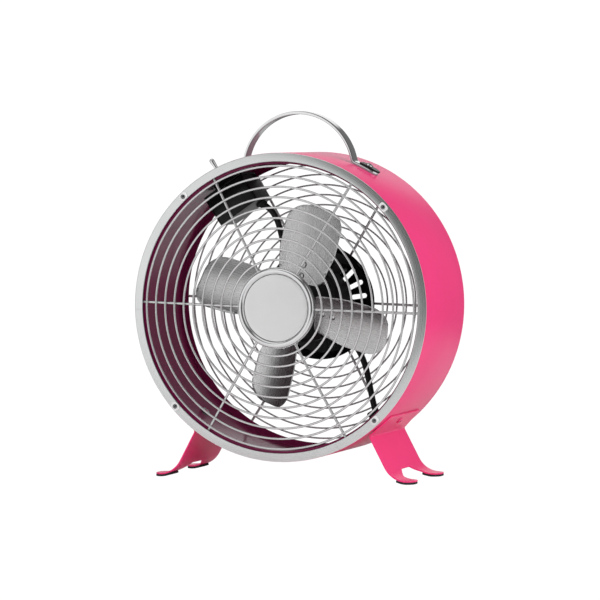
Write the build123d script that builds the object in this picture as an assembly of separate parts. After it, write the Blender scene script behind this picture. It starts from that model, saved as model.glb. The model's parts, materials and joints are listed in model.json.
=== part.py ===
from build123d import *

import math
import os

# Nine-inch retro drum fan. Millimetres, +Z up, the fan blows towards -Y.
# The fan is drawn with y = 0 in the middle of the drum. On export it moves a little along Y,
# so that the origin is on the floor under the middle of the whole fan.

# ---- drum and frame ----
AXIS_Z = 144.0            # height of the fan axis above the floor
DRUM_R = 128.0            # outside radius of the drum
SHEET = 1.0               # drum sheet thickness
DRUM_FRONT_Y = -53.5
DRUM_BACK_Y = 54.0
FLANGE_Y = -49.5          # face that the front guard seats on
FLANGE_R = 119.0          # inside radius of the front flange
BACK_FLANGE_R = 121.0
DRUM_INNER_R = DRUM_R - SHEET
DRAIN_ANGLE = -97.6       # small notch in the lower front lip
DRAIN_WIDTH = 4.0

# ---- front trim ring ----
TRIM_OUTER_R = 126.9
TRIM_INNER_R = 120.85
TRIM_FRONT_Y = -54.5
TRIM_SHEET = 0.8
TRIM_LIP_Y = -53.0        # back of the short inner lip
TRIM_SEAMS = (-65.5, 181.5)
SEAM_WIDTH = 0.4
SEAM_DEPTH = 0.4

# ---- guards ----
GUARD_TURN = -1.4         # both guards sit this far off the vertical
SPOKE_COUNT = 6
RING_WIRE_R = 0.9
SPOKE_WIRE_R = 1.1
HOOP_WIRE_R = 1.3
WELD_DEPTH = 0.1          # how far touching wires sink into each other
RING_PITCH = 8.6
FRONT_RING_COUNT = 10
FRONT_RING_OUTER_R = 117.2
FRONT_DOME_Y = -60.3      # apex of the front dome of rings
FRONT_DOME_K = 1.0 / 1950
FRONT_HOOP_R = 123.8
FRONT_HOOP_Y = -51.0
SPOKE_END_GAP = 0.8       # front spokes stop this far inside the middle of the hoop
REAR_RING_COUNT = 8
REAR_RING_OUTER_R = 117.2
REAR_DOME_Y = 63.9
REAR_DOME_K = 1.0 / 2087
REAR_HOOP_R = 123.5
REAR_SPOKE_INNER_R = 38.0

# ---- hub badge ----
HUB_RIM_R = 33.7
HUB_RIM_SECTION = 2.8     # half width of the rim bead
HUB_CREST_Y = -61.6
HUB_BACK_Y = -59.1
HUB_DISC_SHEET = 1.0
HUB_PLATE_R = 33.0
HUB_PLATE_SHEET = 1.2
HUB_SPOKE_INNER_R = 26.0
HUB_GRIP = 2.5            # room for the spokes between the badge and its back plate
HUB_BOSS_R = 6.0
HUB_SCREW_R = 2.0
HUB_CLEARANCE = 0.05
HUB_SCREW_END = 0.4       # solid metal left in front of the screw hole
HUB_HEAD_R = 4.0
HUB_HEAD_H = 1.8
HUB_SCREW_REACH = 1.6

# ---- ring clips ----
CLIP_TURN = 42.6
CLIP_WIDTH = 6.4
CLIP_SHEET = 0.7
CLIP_SCREW_R = 1.3
CLIP_CORNER_R = 1.9
CLIP_EDGE = 0.1           # trim ring left bare at each end of a clip
CLIP_HEAD_R = 2.3
CLIP_HEAD_H = 1.3
CLIP_COUNT = 4

# ---- motor ----
CUP_RIM_R = 49.3
CUP_RIM_Y = 50.5
CUP_FACE_R = 45.5
CUP_FACE_Y = 60.2
CUP_SHEET = 1.3
SLOT_INNER_R = 25.7
SLOT_OUTER_R = 40.0
SLOT_WIDTH = 4.0
SLOT_STEP = 18.0
SLOT_FIRST = -45.4
SLOTS_PER_SIDE = 6
CUP_SCREW_R = 34.5        # pitch radius of the cup screws
CUP_SCREW_ANGLES = (56.5, 123.5, -56.5, -123.5)
CUP_CHAMFER = 1.5
CUP_INNER_CHAMFER = 2.2
CUP_HEAD_R = 3.0
CUP_HEAD_H = 1.5
CUP_SCREW_DEPTH = 6.0     # how far the cup screws go into their posts
MOTOR_R = 32.0
MOTOR_WALL = 1.5
MOTOR_FRONT_Y = 9.0
MOTOR_SPLIT_Y = 26.0
MOTOR_BACK_Y = 43.0
STATOR_HALF = 9.0
STATOR_BORE_R = 15.3
ARMATURE_R = 15.0
SHAFT_R = 3.0
BEARING_R = 5.5
BEARING_LENGTH = 6.0
BEARING_BORE_R = 3.03
BEARING_BOSS_R = 8.0
TIE_SCREW_R = 1.5
TIE_SCREW_PITCH_R = 26.5
TIE_SCREW_ANGLES = (45, 135, 225, 315)
TIE_HEAD_R = 2.8
TIE_HEAD_H = 1.4
MOTOR_CHAMFER = 3.0
MOTOR_INNER_CHAMFER = 2.0
BEARING_BOSS_LENGTH = 4.0
COIL_REACH = 5.0
COIL_GAP = 2.0            # clear of the bore and of the tie screws
POST_R = 3.6
EAR_EDGE = 1.0
EAR_SHEET = 2.5
EAR_NECK = 12.0

# ---- rotor ----
ROTOR_Y = -17.0           # middle of the blades
BLADE_TURN = -14.5        # direction of the blade nearest to +X
BLADE_COUNT = 4
BLADE_TIP_R = 85.5
BLADE_ROOT_R = 20.0
BLADE_ROOT_HALF = 18.0
BLADE_HALF_CHORD = 24.0
BLADE_PITCH = 30.0
BLADE_SHEET = 0.8
BLADE_CAMBER_R = 85.0
BLADE_CORNER_R = 17.0
BLADE_SHOULDER = 28.0     # from the root to where the blade has its full chord
BLADE_MARGIN = 4.0        # the curved band is cut this much wider than the outline
ARM_HALF_WIDTH = 7.0
ARM_END_R = 41.0
ARM_SHEET = 1.6
ARM_ROOT = 7.0            # where the arms start, outside the shaft
ARM_CORNER_R = 4.2
SPIDER_BACK = 3.0         # back face of the spider behind the middle of the blades
SPIDER_R = 16.0
BOSS_R = 8.5
BOSS_LENGTH = 14.0
BOSS_SCREW_R = 1.5
BOSS_SCREW_ALONG = 0.6    # share of the boss length
BOSS_KEY_R = 0.8
SHAFT_NUT_R = 5.6
SHAFT_NUT_H = 3.6
SHAFT_AHEAD = 6.0         # shaft in front of the middle of the blades
RIVET_R = 1.5
RIVET_HEAD_R = 2.9
RIVET_HEAD_H = 1.2
RIVET_RADII = (26.0, 35.5)

# ---- speed switch ----
SWITCH_ANGLE = 124.3
SWITCH_Y = 8.0            # where the lever stands
BOX_FRONT_Y = -6.0
BOX_DEPTH = 37.0
BOX_WIDTH = 40.0
BOX_INNER_R = 93.4
BOX_OUTER_R = 119.4
BOX_WALL = 1.6
BOX_CORNER_R = 1.5
SADDLE_BLOCK_AHEAD = 6.0  # packing block in front of and behind the lever
SADDLE_BLOCK_BEHIND = 20.0
SADDLE_BLOCK_HALF = 9.0
SWITCH_BODY_HALF_Y = 6.5
SWITCH_BODY_HALF = 8.0
SWITCH_BODY_DROP = 1.6    # top of the switch body below the lid
SWITCH_BODY_LIFT = 3.0    # terminals' room above the floor of the box
TERMINALS = (-4.5, 0.0, 4.5)
TERMINAL_HALF_WIDTH = 1.0
TERMINAL_HALF_SHEET = 0.4
TERMINAL_LENGTH = 2.5
SWITCH_NUT_R = 6.0
SWITCH_NUT_H = 2.4
WASHER_R = 6.1
WASHER_SHEET = 0.4
BUSHING_R = 3.9
BUSHING_BORE_R = 3.1
BUSHING_TOP_R = 134.0
LEVER_PIVOT_R = 128.0
LEVER_TIP_R = 147.6
LEVER_BALL_R = 2.6
LEVER_NECK_R = 1.4
LEVER_END_R = 2.1
LEVER_PIN_R = 0.6
PIN_CLEARANCE = 0.05
PIN_END_GAP = 0.2
LEVER_TAIL = 5.4
LEVER_TAIL_R = 1.1
BUSHING_FLOOR = 2.5

# ---- handle ----
HANDLE_WIDTH = 12.0
HANDLE_SHEET = 2.6
HANDLE_OUTER_R = 49.9
HANDLE_CENTRE_Z = 256.5
HANDLE_TAB_END = 58.0     # angle on the drum where each tab ends
HANDLE_SCREW_ANGLE = 62.4
HANDLE_SHANK_R = 2.0
SADDLE_SHEET = 1.4
SADDLE_WIDTH = 11.0
SADDLE_START = 65.6
TAB_CORNER_R = 2.5
TAB_ROOT_ANGLE = 68.2     # angle on the drum where each tab runs into the arch
HANDLE_CREASE_R = 1.8
ANY_GAP = 0.01            # closer than this counts as touching
END_SEARCH = 0.5          # degrees either side of a tab end
HANDLE_HEAD_R = 3.2
HANDLE_HEAD_H = 1.8
HANDLE_SCREW_REACH = 4.5  # how far the screw stands inside the drum

# ---- feet ----
FOOT_SHEET = 1.2
TAB_TANGENT = -45.5       # angle where the flat tab touches the drum
TAB_ABOVE = 4.0
TAB_BELOW = 18.5
TAB_HALF = 39.5
LEG_HALF = 46.5
LEG_SLOPE = 62.0
TOE_TOP_Z = 3.0
TOE_BEND_R = 20.0
TOE_TIP_X = 114.3
TOE_INNER_Y = 25.0
TOE_CORNER_R = 8.0
NOTCH_TOP_X = 93.0
NOTCH_TOP_HALF = 11.0
NOTCH_END_HALF = 27.0
PAD_SHEET = 1.8
PAD_START = 38.0          # degrees of the toe bend left uncovered
FOOT_SCREW_ALONG = 4.0
FOOT_SHANK_R = 2.0
FOOT_HEAD_R = 3.2
FOOT_HEAD_H = 1.6
FOOT_SCREW_REACH = 4.0    # how far the screw stands inside the drum
NOTCH_DEPTH = 6.5         # from the notch top to where the toes part
NOTCH_TOP_CORNER_R = 2.5
NOTCH_WAIST_CORNER_R = 3.0
TOE_ZONE = 20.0           # height up to which the plan of the toes trims the strip
INNER_NUT_R = 3.9
INNER_NUT_H = 2.6
INNER_NUT_GAP = 0.3

# ---- leads ----
LEAD_R = 2.6
SWITCH_LEAD = (
    (-43.0, 14.0, 86.5), (-36.0, 14.5, 83.0), (-29.5, 16.0, 77.0), (-25.8, 18.5, 68.0),
    (-24.2, 22.0, 57.0), (-23.2, 26.0, 46.0), (-20.0, 29.5, 36.0), (-15.0, 31.0, 27.4),
)
MAINS_LEAD = (
    (21.5, 39.0, -21.5), (30.0, 41.5, -29.5), (38.0, 43.0, -40.0), (43.8, 42.0, -52.0),
    (47.6, 39.5, -64.0), (50.8, 36.5, -75.0), (54.4, 33.5, -86.0), (58.6, 31.0, -97.0),
    (63.4, 29.6, -108.6),
)
GLAND_ANGLE = -59.7
GLAND_Y = 29.6
GLAND_R = 4.6
GLAND_INNER_R = 105.0     # how far in the gland's sleeve reaches
GLAND_STAND = 3.0         # how far the sleeve stands out of the drum
GLAND_COLLAR_R = 7.0
GLAND_COLLAR_H = 2.0
GLAND_COLLAR_LIFT = 1.4   # middle of the outer collar above the drum
GLAND_INNER_COLLAR_R = 6.4
GLAND_INNER_COLLAR_H = 2.2
GLAND_INNER_COLLAR_DROP = 2.5
GLAND_GROOVES = 4
GLAND_GROOVE_FIRST = 9.0
GLAND_GROOVE_STEP = 3.2
GLAND_GROOVE_WIDTH = 1.2
GLAND_GROOVE_DEPTH = 0.8
GROMMET_LENGTH = 6.5
GROMMET_START = 1.4       # from the end of the lead
GROMMET_BIG_WALL = 2.0
GROMMET_SMALL_WALL = 1.0
BEND_SHARE = 0.45         # of the shorter run, taken by the arc at each corner of a lead
RUN_PAST = 12.0           # how far cutting tools run past what they cut

# ---- screw heads ----
RECESS_DEPTH = 0.5        # shares of the head height and radius
RECESS_LENGTH = 1.2
RECESS_WIDTH = 0.22

parts = {}


def axis_place():
    return Pos(0, 0, AXIS_Z)


def turned(points):
    """A solid turned about the fan axis from (radius, y) points."""
    profile = make_face(Polyline(*points, close=True))
    return axis_place() * revolve(profile, axis=Axis.Y, revolution_arc=360)


def tube(outer_r, inner_r, y0, y1):
    return turned([(inner_r, y0), (outer_r, y0), (outer_r, y1), (inner_r, y1)])


def rod_y(radius, y0, y1, x=0.0, z=0.0):
    """A round rod along Y; x and z are measured from the fan axis."""
    place = Pos(x, (y0 + y1) / 2, AXIS_Z + z) * Rot(X=90)
    return place * Cylinder(radius, y1 - y0)


def wire_ring(radius, wire_r, y):
    return Pos(0, y, AXIS_Z) * Rot(X=90) * Torus(radius, wire_r)


def spin(angle):
    """A turn about the fan axis, anticlockwise seen from the front."""
    return Pos(0, 0, AXIS_Z) * Rot(Y=-angle) * Pos(0, 0, -AXIS_Z)


def polar(angle, radius):
    turn = math.radians(angle)
    return radius * math.cos(turn), radius * math.sin(turn)


def on_drum(angle, radius, y=0.0):
    """A place with its z pointing outwards, its x along +Y and its y anticlockwise."""
    x, z = polar(angle, radius)
    out_x, out_z = polar(angle, 1.0)
    plane = Plane(origin=(x, y, AXIS_Z + z), x_dir=(0, 1, 0), z_dir=(out_x, 0, out_z))
    return plane.location


def hex_nut(across_r, height, bore_r):
    body = extrude(RegularPolygon(across_r, 6), height)
    return body - Pos(0, 0, height / 2) * Cylinder(bore_r, height * 2)


def domed_screw(head_r, head_h, shank_r, length):
    """A screw with its head above z = 0 and its shank below."""
    ball_r = (head_r ** 2 + head_h ** 2) / (2 * head_h)
    head = Pos(0, 0, head_h - ball_r) * Sphere(ball_r)
    head = head & (Pos(0, 0, head_h / 2) * Box(head_r * 4, head_r * 4, head_h))
    slot_depth = head_h * RECESS_DEPTH
    slot_place = Pos(0, 0, head_h)
    for turn in (0, 90):
        slot = Rot(Z=turn) * Box(head_r * RECESS_LENGTH, head_r * RECESS_WIDTH, slot_depth * 2)
        head = head - slot_place * slot
    shank = Pos(0, 0, -length / 2) * Cylinder(shank_r, length)
    return head + shank


def front_dome(radius):
    return FRONT_DOME_Y + FRONT_DOME_K * radius ** 2


def rear_dome(radius):
    return REAR_DOME_Y - REAR_DOME_K * radius ** 2


def spoke(inner_r, outer_r, dome, behind):
    """One guard spoke along +X, bent to the dome and set behind the rings."""
    middle_r = (inner_r + outer_r) / 2
    points = [(r, dome(r) + behind, AXIS_Z) for r in (inner_r, middle_r, outer_r)]
    path = ThreePointArc(*points)
    start = Plane(origin=path @ 0, z_dir=path % 0)
    return sweep(start * Circle(SPOKE_WIRE_R), path=path)


def group(solids):
    return Compound(list(solids))


def make_drum():
    shell = turned([
        (DRUM_R, DRUM_FRONT_Y), (DRUM_R, DRUM_BACK_Y),
        (BACK_FLANGE_R, DRUM_BACK_Y), (BACK_FLANGE_R, DRUM_BACK_Y - SHEET),
        (DRUM_INNER_R, DRUM_BACK_Y - SHEET), (DRUM_INNER_R, FLANGE_Y + SHEET),
        (FLANGE_R, FLANGE_Y + SHEET), (FLANGE_R, FLANGE_Y),
        (DRUM_INNER_R, FLANGE_Y), (DRUM_INNER_R, DRUM_FRONT_Y),
    ])
    wall_drill = SHEET * 6
    shell -= on_drum(SWITCH_ANGLE, DRUM_R, SWITCH_Y) * Cylinder(BUSHING_R, wall_drill)
    for angle in (HANDLE_SCREW_ANGLE, 180 - HANDLE_SCREW_ANGLE):
        shell -= on_drum(angle, DRUM_R) * Cylinder(HANDLE_SHANK_R, wall_drill)
    for side in (0, 180):
        hole = foot_screw_place() * Cylinder(FOOT_SHANK_R, wall_drill)
        shell -= Rot(Z=side) * hole
    shell -= on_drum(GLAND_ANGLE, DRUM_R, GLAND_Y) * Cylinder(GLAND_R, wall_drill)
    notch = Box(DRAIN_WIDTH / 2, DRAIN_WIDTH, wall_drill)
    shell -= on_drum(DRAIN_ANGLE, DRUM_R, DRUM_FRONT_Y) * notch
    return shell


def make_trim_ring():
    wall = TRIM_SHEET
    ring = turned([
        (TRIM_INNER_R, TRIM_FRONT_Y), (TRIM_OUTER_R, TRIM_FRONT_Y), (TRIM_OUTER_R, FLANGE_Y),
        (TRIM_OUTER_R - wall, FLANGE_Y), (TRIM_OUTER_R - wall, TRIM_FRONT_Y + wall),
        (TRIM_INNER_R + wall, TRIM_FRONT_Y + wall), (TRIM_INNER_R + wall, TRIM_LIP_Y),
        (TRIM_INNER_R, TRIM_LIP_Y),
    ])
    seam_length = (TRIM_OUTER_R - TRIM_INNER_R) * 2
    for angle in TRIM_SEAMS:
        x, z = polar(angle, (TRIM_OUTER_R + TRIM_INNER_R) / 2)
        seam = Rot(Y=-angle) * Box(seam_length, SEAM_DEPTH * 2, SEAM_WIDTH)
        ring -= Pos(x, TRIM_FRONT_Y, AXIS_Z + z) * seam
    return ring


def ring_radii(outer_r, count):
    return [outer_r - RING_PITCH * i for i in range(count)]


def make_guard_rings(outer_r, count, dome):
    return group(wire_ring(r, RING_WIRE_R, dome(r)) for r in ring_radii(outer_r, count))


def make_guard_spokes(inner_r, outer_r, dome, behind):
    one = spoke(inner_r, outer_r, dome, behind)
    step = 360 / SPOKE_COUNT
    return group(spin(GUARD_TURN + step * i) * one for i in range(SPOKE_COUNT))


def make_hub_rim():
    middle_r = HUB_RIM_R - HUB_RIM_SECTION
    rise = HUB_BACK_Y - HUB_CREST_Y
    left = (middle_r - HUB_RIM_SECTION, HUB_BACK_Y)
    right = (middle_r + HUB_RIM_SECTION, HUB_BACK_Y)
    crest = (middle_r, HUB_BACK_Y - rise)
    bead = make_face([ThreePointArc(left, crest, right), Line(right, left)])
    return axis_place() * revolve(bead, axis=Axis.Y, revolution_arc=360)


def make_hub_disc():
    inner = HUB_RIM_R - 2 * HUB_RIM_SECTION - HUB_CLEARANCE
    boss_y = HUB_BACK_Y + HUB_GRIP
    disc = rod_y(inner, HUB_BACK_Y - HUB_DISC_SHEET, HUB_BACK_Y)
    boss = rod_y(HUB_BOSS_R, HUB_BACK_Y, boss_y) - rod_y(HUB_SCREW_R, HUB_BACK_Y + HUB_SCREW_END, boss_y)
    return disc + boss


def make_clip():
    """A small saddle over the trim ring, along +X."""
    middle_r = (TRIM_OUTER_R + TRIM_INNER_R) / 2
    length = TRIM_OUTER_R - TRIM_INNER_R - 2 * CLIP_EDGE
    plate = Box(length, CLIP_SHEET, CLIP_WIDTH)
    plate = fillet(plate.edges().filter_by(Axis.Y), CLIP_CORNER_R)
    plate -= Rot(X=90) * Cylinder(CLIP_SCREW_R, CLIP_SHEET * 3)
    y = TRIM_FRONT_Y - CLIP_SHEET / 2
    return Pos(middle_r, y, AXIS_Z) * plate


def make_clip_screw():
    middle_r = (TRIM_OUTER_R + TRIM_INNER_R) / 2
    screw = domed_screw(CLIP_HEAD_R, CLIP_HEAD_H, CLIP_SCREW_R, CLIP_SHEET)
    return Pos(middle_r, TRIM_FRONT_Y - CLIP_SHEET, AXIS_Z) * Rot(X=90) * screw


def around(one, first, step, count):
    return group(spin(first + step * i) * one for i in range(count))


def make_motor_cup():
    wall = CUP_SHEET
    cup = turned([
        (0, CUP_FACE_Y), (CUP_FACE_R - CUP_CHAMFER, CUP_FACE_Y), (CUP_FACE_R, CUP_FACE_Y - CUP_CHAMFER),
        (CUP_RIM_R, CUP_RIM_Y), (CUP_RIM_R - wall, CUP_RIM_Y),
        (CUP_FACE_R - wall, CUP_FACE_Y - CUP_CHAMFER - wall / 2),
        (CUP_FACE_R - CUP_INNER_CHAMFER, CUP_FACE_Y - wall),
        (0, CUP_FACE_Y - wall),
    ])
    middle_r = (SLOT_INNER_R + SLOT_OUTER_R) / 2
    slot_face = Rot(X=90) * SlotOverall(SLOT_OUTER_R - SLOT_INNER_R, SLOT_WIDTH)
    slot = Pos(middle_r, CUP_FACE_Y + wall, AXIS_Z) * extrude(slot_face, wall * 3, both=True)
    for side in (0, 180):
        for i in range(SLOTS_PER_SIDE):
            cup -= spin(side + SLOT_FIRST + SLOT_STEP * i) * slot
    for angle in CUP_SCREW_ANGLES:
        x, z = polar(angle, CUP_SCREW_R)
        cup -= rod_y(TIE_SCREW_R, CUP_FACE_Y - 2 * wall, CUP_FACE_Y + wall, x, z)
    return cup


def make_cup_screw(angle):
    x, z = polar(angle, CUP_SCREW_R)
    screw = domed_screw(CUP_HEAD_R, CUP_HEAD_H, TIE_SCREW_R, CUP_SHEET + CUP_SCREW_DEPTH)
    return Pos(x, CUP_FACE_Y, AXIS_Z + z) * Rot(X=-90) * screw


def make_motor_post(angle):
    """A round post with a foot that ties the motor to the cup."""
    x, z = polar(angle, CUP_SCREW_R)
    top = CUP_FACE_Y - CUP_SHEET
    post = rod_y(POST_R, MOTOR_BACK_Y, top, x, z)
    return post - rod_y(TIE_SCREW_R, top - CUP_SCREW_DEPTH, top, x, z)


def make_motor_shell(end_y, split_y):
    """One half of the motor casing, open at the split, with ears at the back."""
    inward = 1.0 if split_y > end_y else -1.0
    inner_r = MOTOR_R - MOTOR_WALL
    boss_end = end_y - inward * BEARING_BOSS_LENGTH
    chamfer_y = end_y + inward * MOTOR_CHAMFER
    shell = turned([
        (BEARING_R, boss_end), (BEARING_BOSS_R, boss_end), (BEARING_BOSS_R, end_y),
        (MOTOR_R - MOTOR_CHAMFER, end_y), (MOTOR_R, chamfer_y), (MOTOR_R, split_y),
        (inner_r, split_y), (inner_r, chamfer_y),
        (inner_r - MOTOR_INNER_CHAMFER, end_y + inward * MOTOR_WALL),
        (BEARING_R, end_y + inward * MOTOR_WALL),
    ])
    for angle in TIE_SCREW_ANGLES:
        x, z = polar(angle, TIE_SCREW_PITCH_R)
        low, high = sorted((end_y - inward, end_y + inward * MOTOR_WALL * 2))
        shell -= rod_y(TIE_SCREW_R, low, high, x, z)
    return shell


def make_rear_shell():
    shell = make_motor_shell(MOTOR_BACK_Y, MOTOR_SPLIT_Y)
    for angle in CUP_SCREW_ANGLES:
        x, z = polar(angle, CUP_SCREW_R)
        ear = rod_y(POST_R + EAR_EDGE, MOTOR_BACK_Y - EAR_SHEET, MOTOR_BACK_Y, x, z)
        inner_x, inner_z = polar(angle, CUP_SCREW_R - EAR_NECK / 2)
        neck = Box(EAR_NECK, EAR_SHEET, 2 * POST_R)
        neck = Pos(inner_x, MOTOR_BACK_Y - EAR_SHEET / 2, AXIS_Z + inner_z) * Rot(Y=-angle) * neck
        shell += ear
        shell += neck - rod_y(MOTOR_R - MOTOR_WALL, MOTOR_BACK_Y - 2 * EAR_SHEET, MOTOR_BACK_Y + 1)
    return shell


def make_stator():
    middle_y = MOTOR_SPLIT_Y
    core = tube(MOTOR_R - MOTOR_WALL, STATOR_BORE_R, middle_y - STATOR_HALF, middle_y + STATOR_HALF)
    for angle in TIE_SCREW_ANGLES:
        x, z = polar(angle, TIE_SCREW_PITCH_R)
        core -= rod_y(TIE_SCREW_R, middle_y - 2 * STATOR_HALF, middle_y + 2 * STATOR_HALF, x, z)
    return core


def make_coils():
    front = MOTOR_SPLIT_Y - STATOR_HALF
    back = MOTOR_SPLIT_Y + STATOR_HALF
    outer_r = TIE_SCREW_PITCH_R - TIE_SCREW_R - COIL_GAP / 2
    inner_r = STATOR_BORE_R + COIL_GAP
    return group([tube(outer_r, inner_r, front - COIL_REACH, front),
                  tube(outer_r, inner_r, back, back + COIL_REACH)])


def make_tie_screw(angle):
    x, z = polar(angle, TIE_SCREW_PITCH_R)
    length = MOTOR_BACK_Y - MOTOR_FRONT_Y
    screw = domed_screw(TIE_HEAD_R, TIE_HEAD_H, TIE_SCREW_R, length)
    return Pos(x, MOTOR_FRONT_Y, AXIS_Z + z) * Rot(X=90) * screw


def blade_place(index):
    """The blade's own frame: x outwards, y along the chord, z to the front."""
    angle = BLADE_TURN + index * 360 / BLADE_COUNT
    x, z = polar(angle, 1.0)
    plane = Plane(origin=(0, ROTOR_Y, AXIS_Z), x_dir=(x, 0, z), z_dir=(0, -1, 0))
    return plane.location * Rot(X=BLADE_PITCH)


def make_blade():
    half = BLADE_HALF_CHORD
    thick = BLADE_SHEET / 2
    arc_z = BLADE_CAMBER_R
    ring = Circle(BLADE_CAMBER_R + thick) - Circle(BLADE_CAMBER_R - thick)
    band = ring & (Pos(0, -BLADE_CAMBER_R) * Rectangle(2 * (half + BLADE_MARGIN), BLADE_CAMBER_R))
    sheet = extrude(Plane.YZ.offset(BLADE_ROOT_R - 1) * Pos(0, arc_z) * band, BLADE_TIP_R)
    shoulder = BLADE_ROOT_R + BLADE_SHOULDER
    outline = Polyline(
        (BLADE_ROOT_R, -BLADE_ROOT_HALF), (shoulder, -half), (BLADE_TIP_R, -half),
        (BLADE_TIP_R, half), (shoulder, half), (BLADE_ROOT_R, BLADE_ROOT_HALF), close=True,
    )
    paddle = make_face(outline)
    tips = paddle.vertices().group_by(Axis.X)[-1]
    paddle = fillet(tips, BLADE_CORNER_R)
    roots = paddle.vertices().group_by(Axis.X)[0]
    paddle = fillet(roots, BLADE_CORNER_R / 3)
    cutter = Pos(0, 0, -half) * extrude(paddle, 2 * half)
    blade = sheet & cutter
    for r in RIVET_RADII:
        blade -= Pos(r, 0, 0) * Cylinder(RIVET_R, RUN_PAST)
    return blade


def make_spider():
    back = ROTOR_Y + SPIDER_BACK
    disc = tube(SPIDER_R, SHAFT_R, back - ARM_SHEET, back)
    length = ARM_END_R - SHAFT_R - ARM_ROOT
    arm = Box(length, 2 * ARM_HALF_WIDTH, ARM_SHEET)
    arm = fillet(arm.edges().filter_by(Axis.Z), ARM_CORNER_R)
    arm = Pos(ARM_END_R - length / 2, 0, -BLADE_SHEET / 2 - ARM_SHEET / 2) * arm
    for r in RIVET_RADII:
        arm -= Pos(r, 0, 0) * Cylinder(RIVET_R, RUN_PAST)
    spider = disc
    for i in range(BLADE_COUNT):
        spider += blade_place(i) * arm
    return spider - rod_y(SHAFT_R, ROTOR_Y - RUN_PAST, ROTOR_Y + RUN_PAST)


def make_rivet(index, radius):
    front = BLADE_SHEET / 2
    back = -BLADE_SHEET / 2 - ARM_SHEET
    shank = Pos(0, 0, (front + back) / 2) * Cylinder(RIVET_R, front - back)
    dome_h = RIVET_HEAD_H
    ball_r = (RIVET_HEAD_R ** 2 + dome_h ** 2) / (2 * dome_h)
    clip = Pos(0, 0, dome_h / 2) * Box(RIVET_HEAD_R * 3, RIVET_HEAD_R * 3, dome_h)
    head = (Pos(0, 0, dome_h - ball_r) * Sphere(ball_r)) & clip
    rivet = shank + Pos(0, 0, front) * head + Pos(0, 0, back) * Rot(X=180) * head
    return blade_place(index) * Pos(radius, 0, 0) * rivet


def make_boss():
    start = ROTOR_Y + SPIDER_BACK
    boss = tube(BOSS_R, SHAFT_R, start, start + BOSS_LENGTH)
    screw_y = start + BOSS_LENGTH * BOSS_SCREW_ALONG
    return boss - Pos(0, screw_y, AXIS_Z + BOSS_R) * Cylinder(BOSS_SCREW_R, 2 * (BOSS_R - SHAFT_R))


def make_boss_screw():
    screw_y = ROTOR_Y + SPIDER_BACK + BOSS_LENGTH * BOSS_SCREW_ALONG
    length = BOSS_R - SHAFT_R
    key = extrude(RegularPolygon(BOSS_KEY_R, 6), BOSS_SCREW_R, both=True)
    screw = Cylinder(BOSS_SCREW_R, length) - Pos(0, 0, length / 2) * key
    return Pos(0, screw_y, AXIS_Z + SHAFT_R + length / 2) * screw


def switch_box_place():
    """The switch box's frame: x along +Y, y anticlockwise, z outwards from the fan axis."""
    return on_drum(SWITCH_ANGLE, 0.0, 0.0)


def block(x0, x1, y0, y1, z0, z1):
    centre = Pos((x0 + x1) / 2, (y0 + y1) / 2, (z0 + z1) / 2)
    return centre * Box(x1 - x0, y1 - y0, z1 - z0)


def make_switch_box():
    back = BOX_FRONT_Y + BOX_DEPTH
    half = BOX_WIDTH / 2
    outer = block(BOX_FRONT_Y, back, -half, half, BOX_INNER_R, BOX_OUTER_R)
    outer = fillet(outer.edges().filter_by(Axis.Z), BOX_CORNER_R)
    wall = BOX_WALL
    inner = block(BOX_FRONT_Y + wall, back - wall, -half + wall, half - wall,
                  BOX_INNER_R + wall, BOX_OUTER_R)
    return switch_box_place() * (outer - inner)


def make_switch_lid():
    back = BOX_FRONT_Y + BOX_DEPTH
    half = BOX_WIDTH / 2
    lid = block(BOX_FRONT_Y, back, -half, half, BOX_OUTER_R, BOX_OUTER_R + BOX_WALL)
    lid = fillet(lid.edges().filter_by(Axis.Z), BOX_CORNER_R)
    lid -= Pos(SWITCH_Y, 0, BOX_OUTER_R) * Cylinder(BUSHING_R, BOX_WALL * 4)
    return switch_box_place() * lid


def make_switch_saddle():
    """Packing block between the lid and the inside of the drum."""
    low = BOX_OUTER_R + BOX_WALL
    saddle = block(SWITCH_Y - SADDLE_BLOCK_AHEAD, SWITCH_Y + SADDLE_BLOCK_BEHIND,
                   -SADDLE_BLOCK_HALF, SADDLE_BLOCK_HALF, low, DRUM_R)
    saddle -= Pos(SWITCH_Y, 0, low) * Cylinder(BUSHING_R, 2 * RUN_PAST)
    saddle = switch_box_place() * saddle
    return saddle & rod_y(DRUM_INNER_R, BOX_FRONT_Y - RUN_PAST, BOX_FRONT_Y + BOX_DEPTH + RUN_PAST)


def make_switch_body():
    low = BOX_INNER_R + BOX_WALL + SWITCH_BODY_LIFT
    body = block(SWITCH_Y - SWITCH_BODY_HALF_Y, SWITCH_Y + SWITCH_BODY_HALF_Y,
                 -SWITCH_BODY_HALF, SWITCH_BODY_HALF, low, BOX_OUTER_R - SWITCH_BODY_DROP)
    for offset in TERMINALS:
        body += block(SWITCH_Y - TERMINAL_HALF_WIDTH, SWITCH_Y + TERMINAL_HALF_WIDTH,
                      offset - TERMINAL_HALF_SHEET, offset + TERMINAL_HALF_SHEET,
                      low - TERMINAL_LENGTH, low)
    return switch_box_place() * body


def make_bushing():
    low = BOX_OUTER_R - SWITCH_BODY_DROP
    bushing = Pos(SWITCH_Y, 0, (low + BUSHING_TOP_R) / 2) * Cylinder(BUSHING_R, BUSHING_TOP_R - low)
    bore_low = low + BUSHING_FLOOR
    bore = Pos(SWITCH_Y, 0, (bore_low + BUSHING_TOP_R + 1) / 2)
    bushing -= bore * Cylinder(BUSHING_BORE_R, BUSHING_TOP_R + 1 - bore_low)
    pin = Pos(SWITCH_Y, 0, LEVER_PIVOT_R) * Rot(X=90) * Cylinder(LEVER_PIN_R + PIN_CLEARANCE, 2 * RUN_PAST)
    return switch_box_place() * (bushing - pin)


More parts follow.
